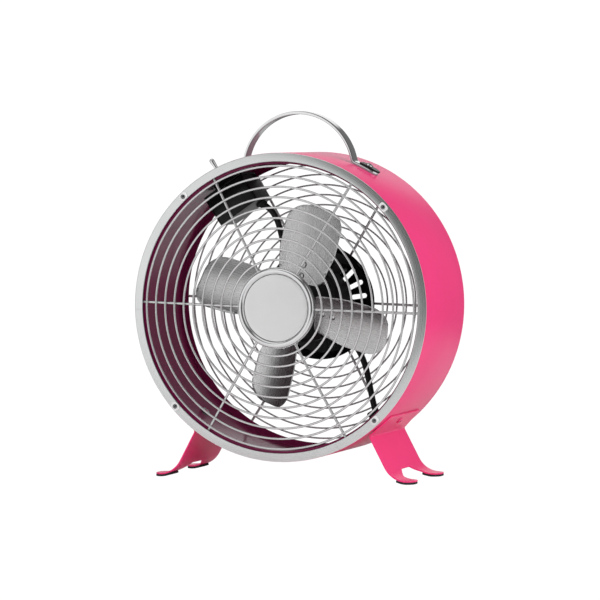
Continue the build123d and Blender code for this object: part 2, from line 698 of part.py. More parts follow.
def make_switch_nut():
    nut = hex_nut(SWITCH_NUT_R, SWITCH_NUT_H, BUSHING_R)
    return on_drum(SWITCH_ANGLE, DRUM_R, SWITCH_Y) * Pos(0, 0, WASHER_SHEET) * nut


def make_switch_washer():
    washer = Pos(0, 0, WASHER_SHEET / 2) * (Cylinder(WASHER_R, WASHER_SHEET) - Cylinder(BUSHING_R, 1))
    return on_drum(SWITCH_ANGLE, DRUM_R, SWITCH_Y) * washer


def make_lever():
    """Bat lever: pivot ball, tapering stem with a rounded end, and a short tail."""
    reach = LEVER_TIP_R - LEVER_PIVOT_R - LEVER_END_R
    stem = Pos(0, 0, reach / 2) * Cone(LEVER_NECK_R, LEVER_END_R, reach)
    stem += Pos(0, 0, reach) * Sphere(LEVER_END_R)
    stem += Sphere(LEVER_BALL_R)
    stem += Pos(0, 0, -LEVER_TAIL / 2) * Cylinder(LEVER_TAIL_R, LEVER_TAIL)
    stem += Rot(X=90) * Cylinder(LEVER_PIN_R, 2 * (BUSHING_R - PIN_END_GAP))
    return on_drum(SWITCH_ANGLE, LEVER_PIVOT_R, SWITCH_Y) * stem


def lead(points):
    """A round lead along straight runs joined by arcs as large as the runs allow."""
    corners = [Vector(x, y, AXIS_Z + z) for x, y, z in points]
    radii = []
    for before, here, after in zip(corners, corners[1:], corners[2:]):
        turn = (here - before).get_angle(after - here)
        run = min((here - before).length, (after - here).length)
        radii.append(BEND_SHARE * run / math.tan(math.radians(turn / 2)))
    path = FilletPolyline(*corners, radius=radii)
    section = Plane(origin=path @ 0, z_dir=path % 0) * Circle(LEAD_R)
    solid = sweep(section, path=path)
    expected = math.pi * LEAD_R ** 2 * path.length
    print("lead length %.1f, smallest bend %.1f, volume ratio %.4f"
          % (path.length, min(radii), solid.volume / expected))
    return solid


def make_lead_gland():
    """Short grommet where the switch lead leaves its box."""
    first, second = (Vector(x, y, AXIS_Z + z) for x, y, z in SWITCH_LEAD[:2])
    way = (second - first).normalized()
    length = GROMMET_LENGTH
    place = Plane(origin=first + way * GROMMET_START, z_dir=way).location
    ring = Pos(0, 0, length / 2) * Cone(LEAD_R + GROMMET_BIG_WALL, LEAD_R + GROMMET_SMALL_WALL, length)
    hole = Pos(0, 0, length / 2) * Cylinder(LEAD_R, length * 2)
    grommet = place * (ring - hole)
    return grommet - (switch_box_place() * block(
        BOX_FRONT_Y, BOX_FRONT_Y + BOX_DEPTH, -BOX_WIDTH / 2, BOX_WIDTH / 2,
        BOX_INNER_R, BOX_OUTER_R))


def make_mains_gland():
    """Moulded sleeve through the drum wall, with a collar on each side."""
    sleeve_length = DRUM_R + GLAND_STAND - GLAND_INNER_R
    sleeve = Pos(0, 0, -(DRUM_R - GLAND_INNER_R) + sleeve_length / 2)
    body = sleeve * Cylinder(GLAND_R, sleeve_length)
    body += Pos(0, 0, GLAND_COLLAR_LIFT) * Cylinder(GLAND_COLLAR_R, GLAND_COLLAR_H)
    body += Pos(0, 0, -GLAND_INNER_COLLAR_DROP) * Cylinder(GLAND_INNER_COLLAR_R, GLAND_INNER_COLLAR_H)
    core = Cylinder(GLAND_R - GLAND_GROOVE_DEPTH, 2 * GLAND_GROOVE_WIDTH)
    groove = Cylinder(GLAND_R + 1, GLAND_GROOVE_WIDTH) - core
    for i in range(GLAND_GROOVES):
        body -= Pos(0, 0, -GLAND_GROOVE_FIRST - GLAND_GROOVE_STEP * i) * groove
    return on_drum(GLAND_ANGLE, DRUM_R, GLAND_Y) * body


def make_handle():
    inner_r = HANDLE_OUTER_R - HANDLE_SHEET
    arch = Pos(0, HANDLE_CENTRE_Z) * (Circle(HANDLE_OUTER_R) - Circle(inner_r))
    arch -= Pos(0, AXIS_Z) * Circle(DRUM_R)
    strap = Pos(0, AXIS_Z) * (Circle(DRUM_R + HANDLE_SHEET) - Circle(DRUM_R))
    reach = DRUM_R * 2
    for side in (1, -1):
        outer = polar(HANDLE_TAB_END, reach)
        inner = polar(TAB_ROOT_ANGLE, reach)
        wedge = make_face(Polyline((0, AXIS_Z), (side * outer[0], AXIS_Z + outer[1]),
                                   (side * inner[0], AXIS_Z + inner[1]), close=True))
        arch += strap & wedge
    # the outer creases, where each tab turns up into the arch
    crease_r = DRUM_R + HANDLE_SHEET / 2
    tab_end_x = polar(HANDLE_TAB_END + 1, DRUM_R)[0]
    creases = []
    for v in arch.vertices():
        reach = math.hypot(v.X, v.Y - AXIS_Z)
        if abs(v.X) < tab_end_x and crease_r < reach < DRUM_R + 2 * HANDLE_SHEET:
            creases.append(v)
    arch = fillet(creases, HANDLE_CREASE_R)
    bar = extrude(Plane.XZ * arch, HANDLE_WIDTH / 2, both=True)
    bar = fillet(end_corners(bar, HANDLE_TAB_END, HANDLE_WIDTH / 2), TAB_CORNER_R)
    for angle in (HANDLE_SCREW_ANGLE, 180 - HANDLE_SCREW_ANGLE):
        bar -= on_drum(angle, DRUM_R) * Cylinder(HANDLE_SHANK_R, HANDLE_SHEET * 4)
    return bar


def end_corners(strip, angle, half_width):
    """Short edges through a strip where it ends at an angle on the drum."""
    corners = []
    for edge in strip.edges():
        middle = edge.center()
        turned = math.degrees(math.atan2(middle.Z - AXIS_Z, abs(middle.X)))
        if abs(abs(middle.Y) - half_width) < ANY_GAP and abs(turned - angle) < END_SEARCH:
            corners.append(edge)
    return corners


def make_handle_saddle(mirrored):
    """Black cover strip over each handle tab."""
    low = DRUM_R + HANDLE_SHEET
    ring = tube(low + SADDLE_SHEET, low, -SADDLE_WIDTH / 2, SADDLE_WIDTH / 2)
    reach = DRUM_R * 2
    outer = polar(HANDLE_TAB_END, reach)
    inner = polar(SADDLE_START, reach)
    wedge = make_face(Polyline((0, 0), outer, inner, close=True))
    wedge = extrude(Plane.XZ * wedge, SADDLE_WIDTH, both=True)
    saddle = ring & (axis_place() * wedge)
    saddle = fillet(end_corners(saddle, HANDLE_TAB_END, SADDLE_WIDTH / 2), TAB_CORNER_R)
    saddle -= on_drum(HANDLE_SCREW_ANGLE, DRUM_R) * Cylinder(HANDLE_SHANK_R, RUN_PAST)
    return mirror(saddle, Plane.YZ) if mirrored else saddle


def make_handle_screw(angle):
    head_seat = DRUM_R + HANDLE_SHEET + SADDLE_SHEET
    screw = domed_screw(HANDLE_HEAD_R, HANDLE_HEAD_H, HANDLE_SHANK_R,
                        head_seat - DRUM_INNER_R + HANDLE_SCREW_REACH)
    return on_drum(angle, head_seat) * screw


def make_inner_nut(place):
    nut = hex_nut(INNER_NUT_R, INNER_NUT_H, HANDLE_SHANK_R)
    return place * Pos(0, 0, -INNER_NUT_GAP - INNER_NUT_H) * nut


def foot_tangent():
    """Start point and down-going direction of the flat tab, in (x, z) from the axis."""
    point = polar(TAB_TANGENT, DRUM_R)
    turn = math.radians(TAB_TANGENT)
    return point, (math.sin(turn), -math.cos(turn))


def foot_screw_place():
    (px, pz), (dx, dz) = foot_tangent()
    x = px + dx * FOOT_SCREW_ALONG
    z = pz + dz * FOOT_SCREW_ALONG
    out_x, out_z = polar(TAB_TANGENT, 1.0)
    plane = Plane(origin=(x, 0, AXIS_Z + z), x_dir=(0, 1, 0), z_dir=(out_x, 0, out_z))
    return plane.location


def foot_profile(depth):
    """Side view of the leg at one depth below its upper surface, as (x, z) points."""
    (px, pz), (dx, dz) = foot_tangent()
    out_x, out_z = polar(TAB_TANGENT, 1.0)
    lift = FOOT_SHEET - depth
    bx = px + out_x * lift
    bz = AXIS_Z + pz + out_z * lift
    top = (bx - dx * TAB_ABOVE, bz - dz * TAB_ABOVE)
    slope = math.radians(LEG_SLOPE)
    nx, nz = math.sin(slope), math.cos(slope)
    fold_x = px + out_x * FOOT_SHEET + dx * TAB_BELOW - nx * depth
    fold_z = AXIS_Z + pz + out_z * FOOT_SHEET + dz * TAB_BELOW - nz * depth
    # the tab line at this depth meets the leg line at this depth
    det = dx * (-math.sin(slope)) - dz * math.cos(slope)
    along = ((fold_x - bx) * (-math.sin(slope)) - (fold_z - bz) * math.cos(slope)) / det
    fold = (bx + dx * along, bz + dz * along)
    toe_z = TOE_TOP_Z - depth
    corner_x = fold[0] + (fold[1] - toe_z) / math.tan(slope)
    bend_r = TOE_BEND_R + depth
    setback = bend_r * math.tan(slope / 2)
    start = (corner_x - setback * math.cos(slope), toe_z + setback * math.sin(slope))
    end = (corner_x + setback, toe_z)
    centre = (corner_x + setback, toe_z + bend_r)
    middle_turn = math.radians(270 - LEG_SLOPE / 2)
    middle = (centre[0] + bend_r * math.cos(middle_turn), centre[1] + bend_r * math.sin(middle_turn))
    return {"top": top, "fold": fold, "start": start, "middle": middle, "end": end,
            "tip": (TOE_TIP_X, toe_z), "centre": centre, "bend_r": bend_r}


def foot_plan():
    """Plan view of the leg and toes below the fold, used to trim the bent strip."""
    outline = Rectangle(TOE_TIP_X * 2, 2 * LEG_HALF)
    corners = outline.vertices().group_by(Axis.X)[-1]
    outline = fillet(corners, TOE_CORNER_R)
    notch = make_face(Polyline(
        (NOTCH_TOP_X, -NOTCH_TOP_HALF), (NOTCH_TOP_X + NOTCH_DEPTH, -TOE_INNER_Y),
        (TOE_TIP_X + 2, -NOTCH_END_HALF), (TOE_TIP_X + 2, NOTCH_END_HALF),
        (NOTCH_TOP_X + NOTCH_DEPTH, TOE_INNER_Y), (NOTCH_TOP_X, NOTCH_TOP_HALF), close=True,
    ))
    notch = fillet(notch.vertices().group_by(Axis.X)[0], NOTCH_TOP_CORNER_R)
    notch = fillet(notch.vertices().sort_by(Axis.X)[-4:-2], NOTCH_WAIST_CORNER_R)
    plan = outline - notch
    inner_tips = [v for v in plan.vertices()
                  if abs(v.X - TOE_TIP_X) < 0.1 and abs(v.Y) < NOTCH_END_HALF + 1]
    return fillet(inner_tips, TOE_CORNER_R)


def make_right_foot():
    upper = foot_profile(0.0)
    lower = foot_profile(FOOT_SHEET)
    edges = [
        Line(upper["top"], upper["fold"]), Line(upper["fold"], upper["start"]),
        ThreePointArc(upper["start"], upper["middle"], upper["end"]),
        Line(upper["end"], upper["tip"]), Line(upper["tip"], lower["tip"]),
        Line(lower["tip"], lower["end"]),
        ThreePointArc(lower["end"], lower["middle"], lower["start"]),
        Line(lower["start"], lower["fold"]), Line(lower["fold"], lower["top"]),
        Line(lower["top"], upper["top"]),
    ]
    foot = extrude(Plane.XZ * make_face(edges), LEG_HALF, both=True)
    low_zone = extrude(foot_plan(), TOE_ZONE)
    high_zone = Pos(0, 0, TOE_ZONE + AXIS_Z / 2) * Box(TOE_TIP_X * 2, 2 * LEG_HALF, AXIS_Z)
    foot = foot & (low_zone + high_zone)
    # the tab narrows towards its top edge
    fold_x, fold_z = upper["fold"]
    top_x, top_z = upper["top"]
    out_x, out_z = polar(TAB_TANGENT, 1.0)
    side_view = Plane(origin=(fold_x, 0, fold_z), x_dir=(0, 1, 0), z_dir=(out_x, 0, out_z))
    length = math.hypot(top_x - fold_x, top_z - fold_z)
    up_sign = 1.0 if (side_view.from_local_coords((0, 1, 0)).Z > fold_z) else -1.0
    for side in (1, -1):
        corner = make_face(Polyline(
            (side * LEG_HALF, 0), (side * TAB_HALF, up_sign * length),
            (side * TAB_HALF, up_sign * length * 2),
            (side * LEG_HALF * 2, up_sign * length * 2), (side * LEG_HALF * 2, 0), close=True))
        foot -= side_view.location * (Pos(0, 0, -RUN_PAST / 2) * extrude(corner, RUN_PAST))
    foot -= foot_screw_place() * Cylinder(FOOT_SHANK_R, RUN_PAST)
    return foot


def make_right_pads():
    """Rubber pads under both toes, following the end of the bend."""
    upper = foot_profile(FOOT_SHEET)
    lower = foot_profile(FOOT_SHEET + PAD_SHEET)
    turn = math.radians(180 + 90 - LEG_SLOPE + PAD_START)
    middle = math.radians((180 + 90 - LEG_SLOPE + PAD_START + 270) / 2)

    def on_bend(profile, angle):
        cx, cz = profile["centre"]
        return cx + profile["bend_r"] * math.cos(angle), cz + profile["bend_r"] * math.sin(angle)

    edges = [
        ThreePointArc(on_bend(upper, turn), on_bend(upper, middle), upper["end"]),
        Line(upper["end"], upper["tip"]), Line(upper["tip"], lower["tip"]),
        Line(lower["tip"], lower["end"]),
        ThreePointArc(lower["end"], on_bend(lower, middle), on_bend(lower, turn)),
        Line(on_bend(lower, turn), on_bend(upper, turn)),
    ]
    pads = extrude(Plane.XZ * make_face(edges), LEG_HALF, both=True)
    return pads & extrude(foot_plan(), TOE_ZONE)


def make_foot_screw():
    screw = domed_screw(FOOT_HEAD_R, FOOT_HEAD_H, FOOT_SHANK_R, FOOT_SHEET + SHEET + FOOT_SCREW_REACH)
    return foot_screw_place() * Pos(0, 0, FOOT_SHEET) * screw


def make_foot_nut():
    drop = SHEET + INNER_NUT_GAP + INNER_NUT_H
    return foot_screw_place() * Pos(0, 0, -drop) * hex_nut(INNER_NUT_R, INNER_NUT_H, FOOT_SHANK_R)


def build():
    behind = RING_WIRE_R + SPOKE_WIRE_R - WELD_DEPTH
    parts["drum_shell"] = make_drum()
    parts["front_trim_ring"] = make_trim_ring()
    parts["front_guard_rings"] = make_guard_rings(FRONT_RING_OUTER_R, FRONT_RING_COUNT, front_dome)
    parts["front_guard_spokes"] = make_guard_spokes(
        HUB_SPOKE_INNER_R, FRONT_HOOP_R - SPOKE_END_GAP, front_dome, behind)
    parts["front_guard_hoop"] = wire_ring(FRONT_HOOP_R, HOOP_WIRE_R, FRONT_HOOP_Y)
    parts["hub_rim"] = make_hub_rim()
    parts["hub_disc"] = make_hub_disc()
    plate_y = HUB_BACK_Y + HUB_GRIP
    parts["hub_back_plate"] = tube(HUB_PLATE_R, HUB_SCREW_R, plate_y, plate_y + HUB_PLATE_SHEET)
    screw_place = Pos(0, plate_y + HUB_PLATE_SHEET, AXIS_Z) * Rot(X=-90)
    screw_length = HUB_PLATE_SHEET + HUB_SCREW_REACH
    parts["hub_screw"] = screw_place * domed_screw(HUB_HEAD_R, HUB_HEAD_H, HUB_SCREW_R, screw_length)
    parts["ring_clips"] = around(make_clip(), CLIP_TURN, 90, CLIP_COUNT)
    parts["ring_clip_screws"] = around(make_clip_screw(), CLIP_TURN, 90, CLIP_COUNT)

    parts["rear_guard_rings"] = make_guard_rings(REAR_RING_OUTER_R, REAR_RING_COUNT, rear_dome)
    parts["rear_guard_spokes"] = make_guard_spokes(
        REAR_SPOKE_INNER_R, REAR_HOOP_R, rear_dome, -behind)
    parts["rear_guard_hoop"] = wire_ring(REAR_HOOP_R, HOOP_WIRE_R, DRUM_BACK_Y + HOOP_WIRE_R)

    parts["motor_cup"] = make_motor_cup()
    parts["motor_cup_screws"] = group(make_cup_screw(a) for a in CUP_SCREW_ANGLES)
    parts["motor_posts"] = group(make_motor_post(a) for a in CUP_SCREW_ANGLES)
    parts["motor_front_shell"] = make_motor_shell(MOTOR_FRONT_Y, MOTOR_SPLIT_Y)
    parts["motor_rear_shell"] = make_rear_shell()
    parts["stator_core"] = make_stator()
    parts["stator_coils"] = make_coils()
    parts["motor_tie_screws"] = group(make_tie_screw(a) for a in TIE_SCREW_ANGLES)
    front_bearing_y = MOTOR_FRONT_Y - BEARING_BOSS_LENGTH
    parts["front_bearing"] = tube(BEARING_R, BEARING_BORE_R, front_bearing_y,
                                  front_bearing_y + BEARING_LENGTH)
    rear_bearing_y = MOTOR_BACK_Y + BEARING_BOSS_LENGTH
    parts["rear_bearing"] = tube(BEARING_R, BEARING_BORE_R, rear_bearing_y - BEARING_LENGTH,
                                 rear_bearing_y)
    parts["armature"] = tube(ARMATURE_R, SHAFT_R, MOTOR_SPLIT_Y - STATOR_HALF,
                             MOTOR_SPLIT_Y + STATOR_HALF)
    parts["motor_shaft"] = rod_y(SHAFT_R, ROTOR_Y - SHAFT_AHEAD, rear_bearing_y)

    blade = make_blade()
    for i in range(BLADE_COUNT):
        parts["blade_%d" % (i + 1)] = blade_place(i) * blade
    parts["blade_spider"] = make_spider()
    parts["blade_rivets"] = group(make_rivet(i, r) for i in range(BLADE_COUNT) for r in RIVET_RADII)
    parts["rotor_boss"] = make_boss()
    parts["rotor_boss_screw"] = make_boss_screw()
    nut_y = ROTOR_Y + SPIDER_BACK - ARM_SHEET
    parts["shaft_nut"] = Pos(0, nut_y, AXIS_Z) * Rot(X=90) * hex_nut(SHAFT_NUT_R, SHAFT_NUT_H, SHAFT_R)

    switch_lead = lead(SWITCH_LEAD)
    parts["switch_box"] = make_switch_box() - switch_lead
    parts["switch_box_lid"] = make_switch_lid()
    parts["switch_saddle"] = make_switch_saddle()
    parts["switch_body"] = make_switch_body()
    parts["switch_bushing"] = make_bushing()
    parts["switch_washer"] = make_switch_washer()
    parts["switch_nut"] = make_switch_nut()
    parts["speed_lever"] = make_lever()
    parts["switch_lead"] = switch_lead
    parts["switch_lead_grommet"] = make_lead_gland() - switch_lead
    mains_lead = lead(MAINS_LEAD)
    parts["mains_lead"] = mains_lead
    parts["mains_gland"] = make_mains_gland() - mains_lead
    parts["motor_rear_shell"] = parts["motor_rear_shell"] - switch_lead - mains_lead

    parts["handle"] = make_handle()
    parts["handle_saddles"] = group([make_handle_saddle(False), make_handle_saddle(True)])
    handle_angles = (HANDLE_SCREW_ANGLE, 180 - HANDLE_SCREW_ANGLE)
    parts["handle_screws"] = group(make_handle_screw(a) for a in handle_angles)
    parts["handle_nuts"] = group(make_inner_nut(on_drum(a, DRUM_INNER_R)) for a in handle_angles)

    right_foot = make_right_foot()
    right_pads = make_right_pads()
    parts["right_foot"] = right_foot
    parts["left_foot"] = Rot(Z=180) * right_foot
    parts["right_foot_pads"] = right_pads
    parts["left_foot_pads"] = Rot(Z=180) * right_pads
    parts["foot_screws"] = group([make_foot_screw(), Rot(Z=180) * make_foot_screw()])
    parts["foot_nuts"] = group([make_foot_nut(), Rot(Z=180) * make_foot_nut()])


def middle_y():
    """Half way between the badge's crest and the rearmost guard ring."""
    smallest = ring_radii(REAR_RING_OUTER_R, REAR_RING_COUNT)[-1]
    return (HUB_CREST_Y + rear_dome(smallest) + RING_WIRE_R) / 2


build()
os.makedirs("parts", exist_ok=True)
to_origin = Pos(0, -middle_y(), 0)
for name, shape in parts.items():
    export_step(to_origin * shape, "parts/%s.step" % name)
print("moved back by %.3f" % -middle_y())
print("%d nodes written" % len(parts))
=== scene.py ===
import json
import math

import bmesh
import bpy
from mathutils import Matrix, Vector
from mathutils.geometry import delaunay_2d_cdt


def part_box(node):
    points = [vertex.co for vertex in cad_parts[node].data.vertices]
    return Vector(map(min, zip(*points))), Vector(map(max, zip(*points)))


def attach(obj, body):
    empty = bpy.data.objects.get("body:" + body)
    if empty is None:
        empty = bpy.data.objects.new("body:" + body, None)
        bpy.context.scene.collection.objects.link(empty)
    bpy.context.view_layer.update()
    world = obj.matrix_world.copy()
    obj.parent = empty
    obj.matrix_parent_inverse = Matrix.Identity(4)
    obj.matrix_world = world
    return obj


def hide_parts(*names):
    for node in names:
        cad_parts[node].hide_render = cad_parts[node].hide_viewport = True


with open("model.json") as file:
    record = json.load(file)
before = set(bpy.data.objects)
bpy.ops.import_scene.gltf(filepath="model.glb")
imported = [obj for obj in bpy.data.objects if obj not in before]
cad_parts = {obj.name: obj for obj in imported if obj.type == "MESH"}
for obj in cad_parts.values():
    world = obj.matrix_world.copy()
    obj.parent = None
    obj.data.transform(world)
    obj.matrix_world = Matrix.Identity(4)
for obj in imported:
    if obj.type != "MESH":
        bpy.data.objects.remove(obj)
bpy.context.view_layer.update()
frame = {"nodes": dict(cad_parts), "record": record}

# ---- sizes, in millimetres ----
MM = 0.001
DRUM_FRONT_Y = -53.5  # the drum's front edge as it was drawn, before the whole fan was centred
drum_low, drum_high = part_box("drum_shell")
SHIFT_Y = drum_low.y / MM - DRUM_FRONT_Y
AXIS_Z = (drum_low.z + drum_high.z) / 2 / MM
DRUM_R = (drum_high.x - drum_low.x) / 2 / MM
DRUM_BACK_Y = 54.0
SHEET = 1.0
FLANGE_Y = -49.5
FLANGE_R = 119.0
BACK_FLANGE_R = 121.0
DRAIN_ANGLE = -97.6

TRIM_OUTER_R = 126.9
TRIM_INNER_R = 120.85
TRIM_FRONT_Y = -54.5
TRIM_FALL = 1.2
TRIM_SHEET = 0.7
TRIM_EASE = 0.25
TRIM_STEPS = 288
SEAM_GAP = 0.11  # degrees
TRIM_SEAMS = (-65.5, 181.5)

GUARD_TURN = -1.4
SPOKE_COUNT = 6
RING_PITCH = 8.6
RING_WIRE_R = 0.9
REAR_WIRE_R = 0.75
SPOKE_WIRE_R = 1.1
HOOP_WIRE_R = 1.3
WIRE_SINK = 0.1
GUARD_OUTER_R = 117.2
FRONT_RINGS = 10
FRONT_CREST_Y = -60.3
FRONT_DOME = 1.0 / 1950
FRONT_HOOP_R = 123.8
FRONT_HOOP_Y = -51.0
REAR_RINGS = 8
REAR_CREST_Y = 63.9
REAR_DOME = -1.0 / 2087
REAR_HOOP_R = 123.5
FRONT_SPOKE_INNER_R = 26.0
REAR_SPOKE_INNER_R = 38.0

HUB_RIM_R = 33.7
HUB_RIM_INNER_R = 28.1
HUB_CREST_Y = -61.6
HUB_BACK_Y = -59.1
CLIP_TURN = 42.6
CLIP_COUNT = 4
CLIP_WIDTH = 7.6
CLIP_SHEET = 0.55
CLIP_FLAT_HALF = 2.1  # the clip falls away beyond this

CUP_RIM_R = 49.3
CUP_RIM_Y = 50.5
CUP_FACE_R = 45.5
CUP_FACE_Y = 60.2
CUP_SHEET = 1.3
SLOT_INNER_R = 25.7
SLOT_OUTER_R = 40.0
SLOT_WIDTH = 4.0
SLOT_STEP = 18.0
SLOT_FIRST = -45.4
SLOTS_PER_SIDE = 6
CUP_SCREW_R = 34.5
CUP_SCREW_FIRST = 56.5
CUP_SCREW_GAP = 67.0

ROTOR_Y = -17.0
BLADE_TURN = -14.5
BLADE_COUNT = 4
BLADE_TIP_R = 85.5
BLADE_ROOT_R = 20.0
BLADE_ROOT_HALF = 18.0
BLADE_HALF_CHORD = 24.0
BLADE_PITCH = 30.0
BLADE_SHEET = 0.8
BLADE_CAMBER_R = 85.0
BLADE_CORNER_R = 17.0
RIVET_R = 1.5
BLADE_SHOULDER_R = 48.0
BLADE_EASE = 30.0
BLADE_TWIST = 1.6  # degrees over the length of the twist
TWIST_LENGTH = 30.0
RIVET_RADII = (26.0, 35.5)
RIVET_HEAD_R = 2.9
RIVET_HEAD_H = 1.25
SPIDER_BACK = 3.0
ARM_SHEET = 1.6
ARM_HALF = 7.0
ARM_START = 8.0
ARM_END = 41.0
SHAFT_BORE_R = 3.02
BOSS_R = 8.5
BOSS_LENGTH = 14.0

SWITCH_ANGLE = 124.3
SWITCH_Y = 8.0
BOX_FRONT_Y = -6.0
BOX_DEPTH = 37.0
BOX_WIDTH = 40.0
BOX_INNER_R = 93.4
BOX_OUTER_R = 119.4
LID_SHEET = 1.6
BUSHING_R = 3.9
BUSHING_BORE_R = 3.1
BUSHING_LOW = 122.0
BUSHING_TOP = 134.0
WASHER_R = 6.1
WASHER_SHEET = 0.4
LEVER_BALL_R = 2.6
LEVER_NECK_R = 1.25
LEVER_END_R = 2.1
LEVER_PIVOT_R = 128.0
LEVER_TIP_R = 147.6

HANDLE_WIDTH = 12.0
HANDLE_SHEET = 2.6
HANDLE_MIDDLE_R = 48.6
HANDLE_CENTRE_Z = 256.5
HANDLE_TAB_END = 58.0
HANDLE_SCREW_ANGLE = 62.4
SADDLE_SHEET = 1.4
SADDLE_WIDTH = 11.0
SADDLE_END = 65.6
HANDLE_BEND_R = 4.2

FOOT_SHEET = 1.2
TAB_TANGENT = -45.5
TAB_ABOVE = 4.0
TAB_BELOW = 18.5
TAB_HALF = 39.5
LEG_HALF = 46.5
LEG_SLOPE = 62.0
TOE_TOP_Z = 3.0
TOE_BEND_R = 20.0
TOE_TIP_X = 114.3
TOE_INNER_Y = 25.0
TOE_END_INNER_Y = 27.0
NOTCH_TOP_X = 93.0
NOTCH_WAIST_X = 99.5
NOTCH_TOP_HALF = 11.0
FOLD_R = 1.6
PAD_OUTER_Y = 46.3
PAD_INNER_Y = 27.1
PAD_SHEET = 1.8
PAD_START = 38.0
FOOT_SCREW_ALONG = 4.0

LEAD_R = 2.6
SWITCH_LEAD = (
    (-43.0, 14.0, 86.5), (-36.0, 14.5, 83.0), (-29.5, 16.0, 77.0), (-25.8, 18.5, 68.0),
    (-24.2, 22.0, 57.0), (-23.2, 26.0, 46.0), (-20.0, 29.5, 36.0), (-15.0, 31.0, 27.4),
)
MAINS_LEAD = (
    (21.5, 39.0, -21.5), (30.0, 41.5, -29.5), (38.0, 43.0, -40.0), (43.8, 42.0, -52.0),
    (47.6, 39.5, -64.0), (50.8, 36.5, -75.0), (54.4, 33.5, -86.0), (58.6, 31.0, -97.0),
    (63.4, 29.6, -108.6),
)
GLAND_ANGLE = -59.7
GLAND_Y = 29.6

# screws: head radius, head height, shank radius, length
CLIP_SCREW = (1.9, 1.15, 1.2, 0.9)
CUP_SCREW = (3.0, 1.5, 1.45, 6.5)
HANDLE_SCREW = (3.2, 1.8, 1.95, 8.0)
FOOT_SCREW = (3.2, 1.6, 1.95, 5.0)
SCREW_HOLE_R = 2.05

CAMERA_AZIMUTH = 19.42
CAMERA_HEIGHT_ANGLE = 2.77
CAMERA_DISTANCE = 3.0
CAMERA_LENS = 214.86
AIM_Y = -9.0
AIM_RIGHT = 2.94
AIM_UP = 4.37

STUDIO_EVEN = 0.85
STUDIO_LEAN = (0.55, -0.2, -0.3)  # how much brighter the even light is towards a side
STUDIO_DARK = 0.12
STUDIO_WHITE = 1.05
LAMPS = (("key_box", -42, 34, 5), ("fill_box", 70, 30, 4))  # azimuth, height angle, watts
LAMP_DISTANCE = 1.6
LAMP_SIZE = (1.0, 0.8)
STUDIO_PANELS = (  # azimuth, height angle, full within, gone beyond (degrees), brightness
    (-42, 5, 25, 38, 0.88),
    (-10, 72, 22, 40, 0.85),
    (80, 12, 24, 42, 0.80),
    (180, 8, 40, 62, 0.16),
    (196, 16, 9, 18, 0.95),
)


# ---- places ----
def at(x, y, z):
    """A point of the drawing, in millimetres, as a point of the scene in metres."""
    return Vector((x * MM, (y + SHIFT_Y) * MM, z * MM))


def polar(angle, radius):
    turn = math.radians(angle)
    return radius * math.cos(turn), radius * math.sin(turn)


def apart(angle, other):
    """The gap between two directions, in degrees."""
    return abs((angle - other + 180) % 360 - 180)


def on_drum(angle, radius, y=0.0):
    """A place whose z points outwards from the axis and whose x runs along the drum."""
    x, z = polar(angle, radius)
    out = Vector((math.cos(math.radians(angle)), 0, math.sin(math.radians(angle))))
    along = Vector((0, 1, 0))
    place = Matrix((along, out.cross(along), out)).transposed().to_4x4()
    place.translation = at(x, y, AXIS_Z + z)
    return place


def mirrored_x():
    return Matrix.Scale(-1, 4, (1, 0, 0))


# ---- outlines ----
def rounded(corners, radius, steps=4):
    """The corners of a closed outline, each eased by a radius; a corner may carry its own."""
    eased = []
    for i, corner in enumerate(corners):
        here = Vector(corner[:2])
        own = corner[2] if len(corner) > 2 else radius
        back = Vector(corners[i - 1][:2]) - here
        ahead = Vector(corners[(i + 1) % len(corners)][:2]) - here
        half = back.angle(ahead) / 2
        if own <= 0 or half > math.radians(89):
            eased.append((here.x, here.y))
            continue
        room = min(back.length, ahead.length) * 0.49
        setback = min(own / math.tan(half), room)
        own = setback * math.tan(half)
        centre = here + (back.normalized() + ahead.normalized()).normalized() * own / math.sin(half)
        start = here + back.normalized() * setback - centre
        end = here + ahead.normalized() * setback - centre
        first = math.atan2(start.y, start.x)
        sweep = (math.atan2(end.y, end.x) - first + math.pi) % (2 * math.pi) - math.pi
        for k in range(steps + 1):
            turn = first + sweep * k / steps
            eased.append((centre.x + own * math.cos(turn), centre.y + own * math.sin(turn)))
    return eased


def circle(radius, steps, x=0.0, y=0.0):
    return [(x + radius * math.cos(2 * math.pi * k / steps), y + radius * math.sin(2 * math.pi * k / steps))
            for k in range(steps)]


def spaced(rim, step):
    """A closed outline with no side longer than the step."""
    result = []
    for i, start in enumerate(rim):
        end = rim[(i + 1) % len(rim)]
        parts = max(1, math.ceil(math.dist(start, end) / step))
        result += [(start[0] + (end[0] - start[0]) * k / parts, start[1] + (end[1] - start[1]) * k / parts)
                   for k in range(parts)]
    return result


def inside(point, rim):
    x, y = point
    found = False
    for i, (ax, ay) in enumerate(rim):
        bx, by = rim[i - 1]
        if (ay > y) != (by > y) and x < (bx - ax) * (y - ay) / (by - ay) + ax:
            found = not found
    return found


